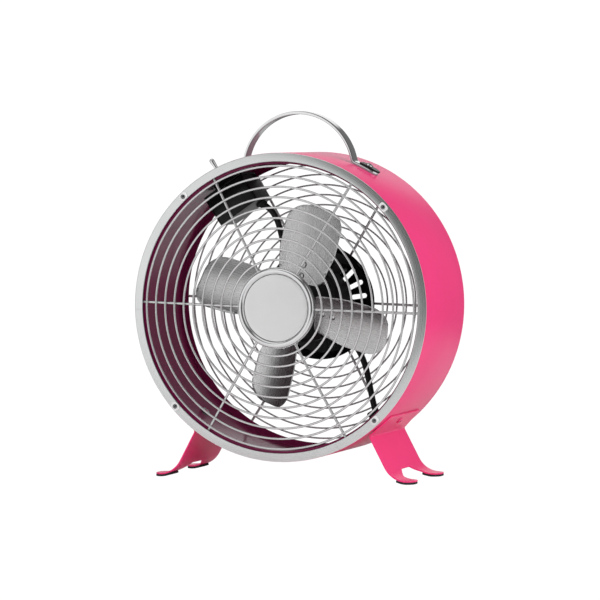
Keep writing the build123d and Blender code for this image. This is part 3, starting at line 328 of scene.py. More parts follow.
def sheet_mesh(outline, holes, step):
    """Flat triangles that fill an outline round its holes, even enough to be bent."""
    rims = [spaced(rim, step) for rim in (outline, *holes)]
    points, edges = [], []
    for rim in rims:
        first = len(points)
        points += rim
        edges += [(first + i, first + (i + 1) % len(rim)) for i in range(len(rim))]
    rim_points = list(points)
    low_x, high_x = min(p[0] for p in points), max(p[0] for p in points)
    low_y, high_y = min(p[1] for p in points), max(p[1] for p in points)
    for i in range(1, int((high_x - low_x) / step) + 1):
        for j in range(1, int((high_y - low_y) / step) + 1):
            here = (low_x + i * step + (j % 2) * step * 0.2, low_y + j * step)
            if not inside(here, outline) or any(inside(here, hole) for hole in holes):
                continue
            if all(abs(here[0] - x) > step * 0.5 or abs(here[1] - y) > step * 0.5 for x, y in rim_points):
                points.append(here)
    found = delaunay_2d_cdt([Vector(p) for p in points], edges, [], 0, 1e-6)
    places, triangles = found[0], found[2]
    kept = []
    for face in triangles:
        middle = sum((places[i] for i in face), Vector((0, 0))) / len(face)
        if inside(middle, outline) and not any(inside(middle, hole) for hole in holes):
            kept.append(tuple(face))
    return [(p.x, p.y) for p in places], kept


# ---- meshes ----
def new_object(name, data):
    made = bpy.data.objects.new(name, data)
    bpy.context.scene.collection.objects.link(made)
    return made


def mesh_from(name, points, faces):
    mesh = bpy.data.meshes.new(name)
    mesh.from_pydata([tuple(p) for p in points], [], faces)
    return mesh


def closed_up(mesh, flip_check=True):
    """Merges what touches, drops empty faces and turns the faces outwards."""
    work = bmesh.new()
    work.from_mesh(mesh)
    bmesh.ops.remove_doubles(work, verts=work.verts, dist=2e-6)
    bmesh.ops.dissolve_degenerate(work, edges=work.edges, dist=1e-7)
    if flip_check:
        bmesh.ops.recalc_face_normals(work, faces=work.faces)
    work.to_mesh(mesh)
    work.free()
    return mesh


def softened(mesh, angle):
    """Smooth shading, broken where two faces meet at more than the angle."""
    mesh.shade_smooth()
    mesh.set_sharp_from_angle(angle=math.radians(angle))
    return mesh


def ring_faces(count, steps):
    """Faces between copies of a closed outline of so many points, set round a circle."""
    faces = []
    for i in range(steps):
        near, far = i * count, ((i + 1) % steps) * count
        for j in range(count):
            k = (j + 1) % count
            faces.append((near + j, near + k, far + k, far + j))
    return faces


def raised_faces(count):
    """Faces of a prism between two outlines of so many points."""
    faces = [tuple(range(count))[::-1], tuple(range(count, 2 * count))]
    return faces + [(i, (i + 1) % count, count + (i + 1) % count, count + i) for i in range(count)]


def lathe(name, profile, steps=192):
    """A closed outline of (radius, y), in millimetres, carried round the fan axis."""
    points = []
    for i in range(steps):
        for radius, y in profile:
            x, z = polar(360.0 * i / steps, radius)
            points.append(at(x, y, AXIS_Z + z))
    return closed_up(mesh_from(name, points, ring_faces(len(profile), steps)))


def spindle(name, profile, steps=48):
    """An outline of (radius, height) carried round its own z axis, in millimetres."""
    points = []
    for i in range(steps):
        turn = 2 * math.pi * i / steps
        for radius, height in profile:
            points.append(Vector((radius * math.cos(turn), radius * math.sin(turn), height)) * MM)
    return closed_up(mesh_from(name, points, ring_faces(len(profile), steps)))


def prism(name, outline, low, high):
    """An outline in x and y raised from one height to another, in millimetres."""
    points = [Vector((x, y, z)) * MM for z in (low, high) for x, y in outline]
    return closed_up(mesh_from(name, points, raised_faces(len(outline))))


def moved(mesh, *places):
    """One mesh that holds a copy of the given one at each place."""
    work = bmesh.new()
    for place in places:
        copy = mesh.copy()
        copy.transform(place)
        if place.determinant() < 0:
            copy.flip_normals()
        work.from_mesh(copy)
        bpy.data.meshes.remove(copy)
    result = bpy.data.meshes.new(mesh.name)
    for material in mesh.materials:
        result.materials.append(material)
    work.to_mesh(result)
    work.free()
    return result


def joined(name, meshes):
    work = bmesh.new()
    for mesh in meshes:
        work.from_mesh(mesh)
    result = bpy.data.meshes.new(name)
    work.to_mesh(result)
    work.free()
    return result


def worked(mesh, *steps):
    """Runs modifiers over a mesh and returns the plain result."""
    holder = new_object("holder", mesh)
    for kind, settings in steps:
        modifier = holder.modifiers.new(kind.lower(), kind)
        for key, value in settings.items():
            setattr(modifier, key, value)
    graph = bpy.context.evaluated_depsgraph_get()
    result = bpy.data.meshes.new_from_object(holder.evaluated_get(graph))
    bpy.data.objects.remove(holder)
    return result


def thickness(size, side=-1.0):
    return "SOLIDIFY", {"thickness": size * MM, "offset": side}


def eased_edges(size, segments=2, angle=50.0):
    return "BEVEL", {"width": size * MM, "segments": segments, "limit_method": "ANGLE",
                     "angle_limit": math.radians(angle), "use_clamp_overlap": True}


def cut_by(mesh, *cutters):
    """A mesh less the cutters."""
    holders = [new_object("cutter", cutter) for cutter in cutters]
    cuts = [("BOOLEAN", {"operation": "DIFFERENCE", "object": h, "solver": "EXACT"}) for h in holders]
    result = worked(mesh, *cuts)
    for holder in holders:
        bpy.data.objects.remove(holder)
    return result


def finished(name, mesh, angle, finishes, stands_for, body="fan_frame"):
    """A named piece, soft below the angle, that rides its body and stands for a node of the frame."""
    if angle:
        softened(mesh, angle)
    piece = new_object(name, mesh)
    mesh.name = name
    if finishes and not mesh.materials:
        for material in finishes if isinstance(finishes, (list, tuple)) else [finishes]:
            mesh.materials.append(material)
    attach(piece, body)
    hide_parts(stands_for)
    return piece


# ---- node helpers ----
def put(tree, kind, values=None, **settings):
    made = tree.nodes.new(kind)
    for key, value in settings.items():
        setattr(made, key, value)
    for key, value in (values or {}).items():
        socket = made.inputs[key]
        if isinstance(value, bpy.types.NodeSocket):
            tree.links.new(value, socket)
        else:
            socket.default_value = value
    return made


def reckon(tree, operation, a, b=0.0, clamp=False):
    return put(tree, "ShaderNodeMath", {0: a, 1: b}, operation=operation, use_clamp=clamp).outputs[0]


def new_group(name, inputs, outputs, kind="ShaderNodeTree"):
    """An empty node group with its named sockets; inputs are (name, type, value)."""
    tree = bpy.data.node_groups.new(name, kind)
    for label, socket_type, value in inputs:
        socket = tree.interface.new_socket(label, in_out="INPUT", socket_type=socket_type)
        if value is not None:
            socket.default_value = value
    for label, socket_type in outputs:
        tree.interface.new_socket(label, in_out="OUTPUT", socket_type=socket_type)
    return tree, put(tree, "NodeGroupInput").outputs, put(tree, "NodeGroupOutput").inputs


def between(tree, noise, low, high):
    """The middle range of a noise, spread between two limits."""
    return put(tree, "ShaderNodeMapRange", {
        "Value": noise.outputs["Fac"], "From Min": 0.3, "From Max": 0.7,
        "To Min": low, "To Max": high}).outputs["Result"]


def thrice(tree, value):
    return put(tree, "ShaderNodeCombineXYZ", {"X": value, "Y": value, "Z": value}).outputs[0]


NUMBER, COLOUR, PLACE = "NodeSocketFloat", "NodeSocketColor", "NodeSocketVector"
WHOLE, SHAPE, FINISH, THING = "NodeSocketInt", "NodeSocketGeometry", "NodeSocketMaterial", "NodeSocketObject"


# ---- shared effects ----
def cloudy_group():
    """Slow changes of tone over a surface, between two limits."""
    tree, given, made = new_group(
        "cloudy_tone",
        [("Place", PLACE, None), ("Size", NUMBER, 20.0), ("Low", NUMBER, 0.2), ("High", NUMBER, 0.3)],
        [("Value", NUMBER)])
    noise = put(tree, "ShaderNodeTexNoise", {
        "Vector": given["Place"], "Scale": given["Size"], "Detail": 4.0, "Roughness": 0.55})
    tree.links.new(between(tree, noise, given["Low"], given["High"]), made["Value"])
    return tree


def skin_group():
    """The fine unevenness of a sprayed or moulded skin, as a height, with a few deeper pits."""
    tree, given, made = new_group(
        "moulded_skin",
        [("Place", PLACE, None), ("Size", NUMBER, 900.0), ("Pits", NUMBER, 0.2)],
        [("Height", NUMBER)])
    fine = put(tree, "ShaderNodeTexNoise", {"Vector": given["Place"], "Scale": given["Size"], "Detail": 2.0})
    cells = put(tree, "ShaderNodeTexVoronoi", {"Vector": given["Place"], "Scale": given["Size"]})
    pits = reckon(tree, "LESS_THAN", cells.outputs["Distance"], 0.18)
    depth = reckon(tree, "MULTIPLY", pits, given["Pits"])
    tree.links.new(reckon(tree, "SUBTRACT", fine.outputs["Fac"], depth), made["Height"])
    return tree


def wear_group():
    """Where edges have rubbed: a mask from the bend of the surface, broken up by noise."""
    tree, given, made = new_group(
        "edge_wear",
        [("Place", PLACE, None), ("Amount", NUMBER, 0.5), ("Reach", NUMBER, 0.0006),
         ("Whole", COLOUR, (0.8, 0.1, 0.3, 1)), ("Worn", COLOUR, (0.9, 0.4, 0.5, 1))],
        [("Colour", COLOUR), ("Mask", NUMBER)])
    eased = put(tree, "ShaderNodeBevel", {"Radius": given["Reach"]}, samples=4)
    plain = put(tree, "ShaderNodeNewGeometry").outputs["Normal"]
    facing = put(tree, "ShaderNodeVectorMath", {0: eased.outputs[0], 1: plain}, operation="DOT_PRODUCT")
    bend = reckon(tree, "SUBTRACT", 1.0, facing.outputs["Value"])
    edge = reckon(tree, "MULTIPLY", reckon(tree, "SUBTRACT", bend, 0.04), 6.0, clamp=True)
    patches = put(tree, "ShaderNodeTexNoise", {"Vector": given["Place"], "Scale": 240.0, "Detail": 5.0})
    broken = put(tree, "ShaderNodeMapRange", {
        "Value": patches.outputs["Fac"], "From Min": 0.42, "From Max": 0.62})
    mask = reckon(tree, "MULTIPLY", reckon(tree, "MULTIPLY", edge, broken.outputs["Result"]), given["Amount"])
    mixed = put(tree, "ShaderNodeMix", {"Factor": mask, "A": given["Whole"], "B": given["Worn"]},
                data_type="RGBA")
    tree.links.new(mixed.outputs["Result"], made["Colour"])
    tree.links.new(mask, made["Mask"])
    return tree


def dust_group():
    """A faint film of dust on what faces upwards."""
    tree, given, made = new_group(
        "settled_dust",
        [("Place", PLACE, None), ("Amount", NUMBER, 0.1), ("Clean", COLOUR, (0.5, 0.5, 0.5, 1)),
         ("Roughness", NUMBER, 0.3)],
        [("Colour", COLOUR), ("Roughness", NUMBER)])
    parts = put(tree, "ShaderNodeSeparateXYZ", {0: put(tree, "ShaderNodeNewGeometry").outputs["Normal"]})
    upward = reckon(tree, "POWER", reckon(tree, "MAXIMUM", parts.outputs["Z"], 0.0), 2.0)
    clouds = put(tree, "ShaderNodeTexNoise", {"Vector": given["Place"], "Scale": 90.0, "Detail": 6.0})
    film = reckon(tree, "MULTIPLY", reckon(tree, "MULTIPLY", upward, clouds.outputs["Fac"]), given["Amount"])
    mixed = put(tree, "ShaderNodeMix", {"Factor": film, "A": given["Clean"], "B": DUST_COLOUR},
                data_type="RGBA")
    tree.links.new(mixed.outputs["Result"], made["Colour"])
    tree.links.new(reckon(tree, "ADD", given["Roughness"], reckon(tree, "MULTIPLY", film, 0.5)),
                   made["Roughness"])
    return tree


def brushed_group():
    """Long fine scratches that run along x of the given place."""
    tree, given, made = new_group(
        "brushed_lines",
        [("Place", PLACE, None), ("Along", NUMBER, 30.0), ("Across", NUMBER, 2500.0),
         ("Low", NUMBER, 0.2), ("High", NUMBER, 0.4)],
        [("Height", NUMBER), ("Value", NUMBER)])
    across = given["Across"]
    stretch = put(tree, "ShaderNodeCombineXYZ", {"X": given["Along"], "Y": across, "Z": across})
    pulled = put(tree, "ShaderNodeVectorMath", {0: given["Place"], 1: stretch.outputs[0]},
                 operation="MULTIPLY")
    noise = put(tree, "ShaderNodeTexNoise", {"Vector": pulled.outputs[0], "Scale": 1.0, "Detail": 3.0})
    tree.links.new(noise.outputs["Fac"], made["Height"])
    tree.links.new(between(tree, noise, given["Low"], given["High"]), made["Value"])
    return tree


def spun_group():
    """Fine turned rings about the y axis through the given place."""
    tree, given, made = new_group(
        "spun_rings",
        [("Place", PLACE, None), ("Fineness", NUMBER, 2200.0), ("Low", NUMBER, 0.2), ("High", NUMBER, 0.4)],
        [("Height", NUMBER), ("Value", NUMBER)])
    flat = put(tree, "ShaderNodeVectorMath", {0: given["Place"], 1: (1, 0, 1)}, operation="MULTIPLY")
    reach = put(tree, "ShaderNodeVectorMath", {0: flat.outputs[0]}, operation="LENGTH").outputs["Value"]
    wobble = put(tree, "ShaderNodeTexNoise", {"Vector": given["Place"], "Scale": 30.0, "Detail": 1.0})
    ring = reckon(tree, "ADD", reckon(tree, "MULTIPLY", reach, given["Fineness"]),
                  reckon(tree, "MULTIPLY", wobble.outputs["Fac"], 1.5))
    noise = put(tree, "ShaderNodeTexNoise", {"W": ring, "Scale": 1.0, "Detail": 3.0}, noise_dimensions="1D")
    tree.links.new(noise.outputs["Fac"], made["Height"])
    tree.links.new(between(tree, noise, given["Low"], given["High"]), made["Value"])
    return tree


DUST_COLOUR = (0.62, 0.60, 0.58, 1)
CLOUDY, SKIN, WEAR, DUST = cloudy_group(), skin_group(), wear_group(), dust_group()
BRUSHED, SPUN = brushed_group(), spun_group()


def placed(tree, effect, values):
    return put(tree, "ShaderNodeGroup", values, node_tree=effect).outputs


def new_finish(name, **constants):
    """A material with its shader, and the place of each point on the piece."""
    material = bpy.data.materials.new(name)
    material.use_nodes = True
    tree = material.node_tree
    shader = tree.nodes["Principled BSDF"]
    for label, value in constants.items():
        shader.inputs[label.replace("_", " ")].default_value = value
    place = put(tree, "ShaderNodeTexCoord").outputs["Object"]
    return material, tree, shader, place


def bumped(tree, shader, height, strength, distance):
    bump = put(tree, "ShaderNodeBump", {"Strength": strength, "Distance": distance, "Height": height})
    tree.links.new(bump.outputs["Normal"], shader.inputs["Normal"])


def coated(tree, shader, colour, roughness):
    tree.links.new(colour, shader.inputs["Base Color"])
    tree.links.new(roughness, shader.inputs["Roughness"])


def varied(tree, place, colour, spread, size):
    """A colour that drifts a little lighter and darker over the surface."""
    tone = placed(tree, CLOUDY, {"Place": place, "Size": size, "Low": 1.0 - spread, "High": 1.0 + spread})
    return put(tree, "ShaderNodeVectorMath", {0: colour[:3], 1: thrice(tree, tone["Value"])},
               operation="MULTIPLY").outputs[0]


def enamel(name, colour, worn, mirrored, gloss_low, gloss_high, dust, specular=0.12, coat=0.04):
    """Sprayed and baked enamel: fine orange peel, rubbed edges, a little dust, and in reflections a painted
    dull, darker tone in place of its colour.
    """
    material, tree, shader, place = new_finish(
        name, Coat_Roughness=0.08, IOR=1.48, Specular_IOR_Level=specular, Coat_Weight=coat)
    tint = varied(tree, place, colour, 0.03, 14.0)
    edge = placed(tree, WEAR, {"Place": place, "Amount": 0.55, "Reach": 0.0006, "Whole": tint, "Worn": worn})
    rough = placed(tree, CLOUDY, {"Place": place, "Size": 18.0, "Low": gloss_low, "High": gloss_high})
    film = placed(tree, DUST, {
        "Place": place, "Amount": dust, "Clean": edge["Colour"], "Roughness": rough["Value"]})
    # where the enamel is seen in reflections it shows the given duller tone: painted shade on its reflected
    # look
    rays = put(tree, "ShaderNodeLightPath").outputs
    painted_reflection_tone = put(tree, "ShaderNodeMix", {"Factor": rays["Is Glossy Ray"], "A": film["Colour"], "B": mirrored},
                data_type="RGBA")
    coated(tree, shader, painted_reflection_tone.outputs["Result"], film["Roughness"])
    peel = placed(tree, SKIN, {"Place": place, "Size": 260.0, "Pits": 0.0})
    bumped(tree, shader, peel["Height"], 0.03, 0.00005)
    return material


def bright_metal(name, colour, low, high, size=120.0, bump=0.02, metal=1.0):
    """Plated or polished metal with faint wipe marks."""
    material, tree, shader, place = new_finish(name, Metallic=metal)
    tint = varied(tree, place, colour, 0.04, 40.0)
    rough = placed(tree, CLOUDY, {"Place": place, "Size": size, "Low": low, "High": high})
    film = placed(tree, DUST, {"Place": place, "Amount": 0.06, "Clean": tint, "Roughness": rough["Value"]})
    coated(tree, shader, film["Colour"], film["Roughness"])
    skin = placed(tree, SKIN, {"Place": place, "Size": 500.0, "Pits": 0.3})
    bumped(tree, shader, skin["Height"], bump, 0.00005)
    return material


def spun_metal(name, colour, fineness, low, high, strength):
    """Metal with fine turned rings about the fan axis."""
    material, tree, shader, place = new_finish(name, Metallic=1.0)
    centred = put(tree, "ShaderNodeMapping", {"Vector": place, "Location": (0, 0, -AXIS_Z * MM)}).outputs[0]
    rings = placed(tree, SPUN, {"Place": centred, "Fineness": fineness, "Low": low, "High": high})
    tint = varied(tree, place, colour, 0.03, 25.0)
    coated(tree, shader, tint, rings["Value"])
    bumped(tree, shader, rings["Height"], strength, 0.00004)
    return material


def brushed_metal(name, colour, low, high, strength):
    """Sheet metal with scratches along the piece's own map."""
    material, tree, shader, place = new_finish(name, Metallic=1.0)
    own = put(tree, "ShaderNodeUVMap", uv_map="along_blade").outputs[0]
    lines = placed(tree, BRUSHED, {"Place": own, "Along": 14.0, "Across": 2600.0, "Low": low, "High": high})
    broad = placed(tree, BRUSHED, {"Place": own, "Along": 5.0, "Across": 300.0, "Low": 0.97, "High": 1.03})
    tone = varied(tree, place, colour, 0.04, 45.0)
    tint = put(tree, "ShaderNodeVectorMath", {0: tone, 1: thrice(tree, broad["Value"])}, operation="MULTIPLY")
    coated(tree, shader, tint.outputs[0], lines["Value"])
    bumped(tree, shader, lines["Height"], strength, 0.00004)
    return material


def moulded(name, colour, low, high, grain, strength, specular=0.4, pits=0.15):
    """Moulded plastic or rubber with a fine grain and greyed edges."""
    material, tree, shader, place = new_finish(name, Specular_IOR_Level=specular)
    tint = varied(tree, place, colour, 0.12, 30.0)
    worn = tuple(min(1.0, c * 2.2 + 0.02) for c in colour[:3]) + (1,)
    edge = placed(tree, WEAR, {"Place": place, "Amount": 0.4, "Reach": 0.0005, "Whole": tint, "Worn": worn})
    rough = placed(tree, CLOUDY, {"Place": place, "Size": 80.0, "Low": low, "High": high})
    film = placed(tree, DUST, {
        "Place": place, "Amount": 0.08, "Clean": edge["Colour"], "Roughness": rough["Value"]})
    coated(tree, shader, film["Colour"], film["Roughness"])
    skin = placed(tree, SKIN, {"Place": place, "Size": grain, "Pits": pits})
    bumped(tree, shader, skin["Height"], strength, 0.00008)
    return material


def winding(name, colour):
    """Varnished wire wound about the fan axis."""
    material, tree, shader, place = new_finish(name, Metallic=0.7, Coat_Weight=0.5)
    parts = put(tree, "ShaderNodeSeparateXYZ", {0: place})
    turns = reckon(tree, "SINE", reckon(tree, "MULTIPLY", parts.outputs["Y"], 9000.0))
    rough = placed(tree, CLOUDY, {"Place": place, "Size": 90.0, "Low": 0.3, "High": 0.5})
    coated(tree, shader, varied(tree, place, colour, 0.12, 60.0), rough["Value"])
    bumped(tree, shader, turns, 0.5, 0.0002)
    return material


def laminated(name, colour):
    """A stack of thin steel sheets along the fan axis."""
    material, tree, shader, place = new_finish(name, Metallic=0.8)
    parts = put(tree, "ShaderNodeSeparateXYZ", {0: place})
    sheets = reckon(tree, "FRACT", reckon(tree, "MULTIPLY", parts.outputs["Y"], 2000.0))
    rough = placed(tree, CLOUDY, {"Place": place, "Size": 70.0, "Low": 0.4, "High": 0.65})
    coated(tree, shader, varied(tree, place, colour, 0.15, 50.0), rough["Value"])
    bumped(tree, shader, sheets, 0.6, 0.00015)
    return material


PINK = enamel("pink_enamel", (0.90, 0.046, 0.215, 1), (0.92, 0.30, 0.45, 1), (0.36, 0.22, 0.26, 1),
              0.29, 0.31, 0.03)
# the drum's inside wall: the pink enamel darkened to a dull maroon, painted shade for the inside of the drum
PINK_PAINTED_SHADE_INSIDE = enamel("pink_enamel_painted_shade_inside", (0.22, 0.012, 0.075, 1), (0.3, 0.06, 0.14, 1),
                     (0.07, 0.045, 0.055, 1), 0.19, 0.21, 0.02, specular=0.2, coat=0.1)
SATIN_TRIM = spun_metal("satin_trim", (0.80, 0.81, 0.81, 1), 1800.0, 0.24, 0.34, 0.10)
FRONT_WIRE = bright_metal("chrome_wire", (0.72, 0.71, 0.72, 1), 0.12, 0.22, metal=0.8)
REAR_WIRE = bright_metal("rear_wire", (0.72, 0.72, 0.73, 1), 0.22, 0.34, metal=0.4)
CHROME = bright_metal("chrome", (0.86, 0.86, 0.87, 1), 0.05, 0.11, bump=0.01)
RIM_CHROME = spun_metal("hub_rim_chrome", (0.84, 0.84, 0.85, 1), 900.0, 0.08, 0.14, 0.03)
SATIN_DISC = spun_metal("satin_disc", (0.97, 0.97, 0.97, 1), 2600.0, 0.42, 0.52, 0.10)
DARK_SCREW = bright_metal("dark_screw", (0.22, 0.22, 0.23, 1), 0.12, 0.2)
SCREW_STEEL = bright_metal("screw_steel", (0.74, 0.74, 0.75, 1), 0.16, 0.28)
# near-black finish for screw recesses: painted shade in the recess, with some dirt
RECESS_SHADE_AND_DIRT = moulded("screw_recess_shade_and_dirt", (0.03, 0.03, 0.032, 1), 0.5, 0.7, 900.0, 0.2)
PINK_SCREW = enamel("pink_screw", (0.80, 0.06, 0.22, 1), (0.9, 0.35, 0.5, 1), (0.36, 0.22, 0.26, 1),
                    0.2, 0.3, 0.02, specular=0.4)
BLACK_PLASTIC = moulded("black_plastic", (0.006, 0.006, 0.0065, 1), 0.26, 0.36, 900.0, 0.12, specular=0.3)
MOTOR_BLACK = moulded("motor_black", (0.016, 0.016, 0.018, 1), 0.35, 0.5, 700.0, 0.2)
RUBBER = moulded("black_rubber", (0.022, 0.022, 0.023, 1), 0.55, 0.75, 1200.0, 0.4, specular=0.3)
SHEATH = moulded("lead_sheath", (0.012, 0.012, 0.013, 1), 0.38, 0.5, 1500.0, 0.15)
BLADE_METAL = brushed_metal("blade_aluminium", (0.84, 0.84, 0.84, 1), 0.24, 0.30, 0.03)
SPIDER_METAL = bright_metal("spider_aluminium", (0.62, 0.62, 0.63, 1), 0.28, 0.42)
RIVET_METAL = bright_metal("rivet_aluminium", (0.80, 0.80, 0.80, 1), 0.18, 0.3)
SHAFT_STEEL = bright_metal("shaft_steel", (0.60, 0.60, 0.62, 1), 0.15, 0.25)
BRONZE = bright_metal("bronze", (0.52, 0.36, 0.16, 1), 0.35, 0.5)
COPPER = winding("copper", (0.55, 0.24, 0.09, 1))
LAMINATION = laminated("lamination", (0.25, 0.25, 0.27, 1))


# ---- repeated pieces, grown by node trees ----
def grown(tree, values):
    """Runs a node tree with its named values and returns a plain mesh."""
    holder = new_object("holder", bpy.data.meshes.new("holder"))
    maker = holder.modifiers.new("maker", "NODES")
    maker.node_group = tree
    for item in tree.interface.items_tree:
        if item.item_type == "SOCKET" and item.in_out == "INPUT" and item.name in values:
            maker[item.identifier] = values[item.name]
    graph = bpy.context.evaluated_depsgraph_get()
    mesh = bpy.data.meshes.new_from_object(holder.evaluated_get(graph))
    bpy.data.objects.remove(holder)
    return mesh


def ending(tree, shape, finish, target):
    """Makes instances real, shades them smooth and gives them their finish."""
    real = put(tree, "GeometryNodeRealizeInstances", {0: shape})
    smooth = put(tree, "GeometryNodeSetShadeSmooth", {"Geometry": real.outputs[0]})
    coated = put(tree, "GeometryNodeSetMaterial", {"Geometry": smooth.outputs[0], "Material": finish})
    tree.links.new(coated.outputs[0], target)


def dome_height(tree, radius, crest, dome):
    """The y of a domed guard at a radius."""
    squared = reckon(tree, "MULTIPLY", radius, radius)
    return reckon(tree, "ADD", crest, reckon(tree, "MULTIPLY", dome, squared))


def rings_tree():
    """Round wires on a dome, one inside the other."""
    tree, given, made = new_group("guard_rings", [
        ("Outer Radius", NUMBER, 0.1), ("Pitch", NUMBER, 0.01), ("Count", WHOLE, 8),
        ("Wire Radius", NUMBER, 0.001), ("Crest", NUMBER, 0.0), ("Dome", NUMBER, 0.0),
        ("Axis Height", NUMBER, 0.1), ("Finish", FINISH, None)], [("Geometry", SHAPE)], "GeometryNodeTree")
    index = put(tree, "GeometryNodeInputIndex").outputs[0]
    radius = reckon(tree, "SUBTRACT", given["Outer Radius"], reckon(tree, "MULTIPLY", given["Pitch"], index))
    place = put(tree, "ShaderNodeCombineXYZ", {
        "Y": dome_height(tree, radius, given["Crest"], given["Dome"]), "Z": given["Axis Height"]})
    points = put(tree, "GeometryNodePoints", {"Count": given["Count"], "Position": place.outputs[0]})
    loop = put(tree, "GeometryNodeCurvePrimitiveCircle", {"Resolution": 216, "Radius": 1.0})
    upright = put(tree, "GeometryNodeTransform", {
        "Geometry": loop.outputs[0], "Rotation": (math.pi / 2, 0, 0)})
    loops = put(tree, "GeometryNodeInstanceOnPoints", {
        "Points": points.outputs[0], "Instance": upright.outputs[0], "Scale": thrice(tree, radius)})
    real = put(tree, "GeometryNodeRealizeInstances", {0: loops.outputs[0]})
    section = put(tree, "GeometryNodeCurvePrimitiveCircle", {
        "Resolution": 12, "Radius": given["Wire Radius"]})
    wires = put(tree, "GeometryNodeCurveToMesh", {
        "Curve": real.outputs[0], "Profile Curve": section.outputs[0]})
    ending(tree, wires.outputs[0], given["Finish"], made["Geometry"])
    return tree


def spokes_tree():
    """Straight wires bent to the same dome, with a small weld where each ring crosses."""
    tree, given, made = new_group("guard_spokes", [
        ("Inner Radius", NUMBER, 0.02), ("Outer Radius", NUMBER, 0.1), ("Wire Radius", NUMBER, 0.001),
        ("Crest", NUMBER, 0.0), ("Dome", NUMBER, 0.0), ("Behind", NUMBER, 0.002), ("Count", WHOLE, 6),
        ("First Turn", NUMBER, 0.0), ("Axis Height", NUMBER, 0.1), ("Ring Radius", NUMBER, 0.1),
        ("Ring Pitch", NUMBER, 0.01), ("Ring Count", WHOLE, 8), ("Weld Size", NUMBER, 0.001),
        ("Finish", FINISH, None)], [("Geometry", SHAPE)], "GeometryNodeTree")
    start = put(tree, "ShaderNodeCombineXYZ", {"X": given["Inner Radius"]})
    end = put(tree, "ShaderNodeCombineXYZ", {"X": given["Outer Radius"]})
    line = put(tree, "GeometryNodeCurvePrimitiveLine", {"Start": start.outputs[0], "End": end.outputs[0]})
    fine = put(tree, "GeometryNodeResampleCurve", {"Curve": line.outputs[0], "Count": 28})
    here = put(tree, "ShaderNodeSeparateXYZ", {0: put(tree, "GeometryNodeInputPosition").outputs[0]})
    lifted = reckon(tree, "ADD", given["Behind"],
                    dome_height(tree, here.outputs["X"], given["Crest"], given["Dome"]))
    shift = put(tree, "ShaderNodeCombineXYZ", {"Y": lifted})
    bent = put(tree, "GeometryNodeSetPosition", {"Geometry": fine.outputs[0], "Offset": shift.outputs[0]})
    section = put(tree, "GeometryNodeCurvePrimitiveCircle", {
        "Resolution": 14, "Radius": given["Wire Radius"]})
    wire = put(tree, "GeometryNodeCurveToMesh", {
        "Curve": bent.outputs[0], "Profile Curve": section.outputs[0], "Fill Caps": True})
    index = put(tree, "GeometryNodeInputIndex").outputs[0]
    radius = reckon(tree, "SUBTRACT", given["Ring Radius"],
                    reckon(tree, "MULTIPLY", given["Ring Pitch"], index))
    weld_y = reckon(tree, "ADD", dome_height(tree, radius, given["Crest"], given["Dome"]),
                    reckon(tree, "MULTIPLY", given["Behind"], 0.5))
    weld_place = put(tree, "ShaderNodeCombineXYZ", {"X": radius, "Y": weld_y})
    crossings = put(tree, "GeometryNodePoints", {
        "Count": given["Ring Count"], "Position": weld_place.outputs[0]})
    bead = put(tree, "GeometryNodeMeshUVSphere", {"Segments": 12, "Rings": 8, "Radius": given["Weld Size"]})
    beads = put(tree, "GeometryNodeInstanceOnPoints", {
        "Points": crossings.outputs[0], "Instance": bead.outputs[0], "Scale": (1.25, 0.8, 1.0)})
    arm = put(tree, "GeometryNodeJoinGeometry")
    tree.links.new(wire.outputs[0], arm.inputs[0])
    tree.links.new(beads.outputs[0], arm.inputs[0])
    turns = round_turns(tree, index, given["First Turn"], given["Count"])
    centre = put(tree, "ShaderNodeCombineXYZ", {"Z": given["Axis Height"]})
    axis = put(tree, "GeometryNodePoints", {"Count": given["Count"], "Position": centre.outputs[0]})
    arms = put(tree, "GeometryNodeInstanceOnPoints", {
        "Points": axis.outputs[0], "Instance": arm.outputs[0], "Rotation": turns})
    ending(tree, arms.outputs[0], given["Finish"], made["Geometry"])
    return tree


def round_turns(tree, index, first, count):
    """Even turns about y, anticlockwise seen from the front."""
    step = reckon(tree, "DIVIDE", 2 * math.pi, count)
    turn = reckon(tree, "ADD", first, reckon(tree, "MULTIPLY", step, index))
    back = reckon(tree, "MULTIPLY", turn, -1.0)
    return put(tree, "ShaderNodeCombineXYZ", {"Y": back}).outputs[0]


def set_round_tree():
    """Copies of a small piece set round the fan axis at even turns or at a given step."""
    tree, given, made = new_group("set_round", [
        ("Piece", THING, None), ("Count", WHOLE, 4), ("First Turn", NUMBER, 0.0), ("Step", NUMBER, 1.0),
        ("Centre", PLACE, None)], [("Geometry", SHAPE)], "GeometryNodeTree")
    index = put(tree, "GeometryNodeInputIndex").outputs[0]
    turn = reckon(tree, "ADD", given["First Turn"], reckon(tree, "MULTIPLY", given["Step"], index))
    turns = put(tree, "ShaderNodeCombineXYZ", {"Y": reckon(tree, "MULTIPLY", turn, -1.0)})
    centres = put(tree, "GeometryNodePoints", {"Count": given["Count"], "Position": given["Centre"]})
    source = put(tree, "GeometryNodeObjectInfo", {"Object": given["Piece"]})
    copies = put(tree, "GeometryNodeInstanceOnPoints", {
        "Points": centres.outputs[0], "Instance": source.outputs["Geometry"], "Rotation": turns.outputs[0]})
    real = put(tree, "GeometryNodeRealizeInstances", {0: copies.outputs[0]})
    tree.links.new(real.outputs[0], made["Geometry"])
    return tree


RINGS, SPOKES, SET_ROUND = rings_tree(), spokes_tree(), set_round_tree()


def set_round(mesh, count, first, step):
    """A mesh drawn at turn zero about the origin, copied round the fan axis."""
    source = new_object("source", mesh)
    result = grown(SET_ROUND, {
        "Piece": source, "Count": count, "First Turn": math.radians(first), "Step": math.radians(step),
        "Centre": (0, SHIFT_Y * MM, AXIS_Z * MM)})
    bpy.data.objects.remove(source)
    return result


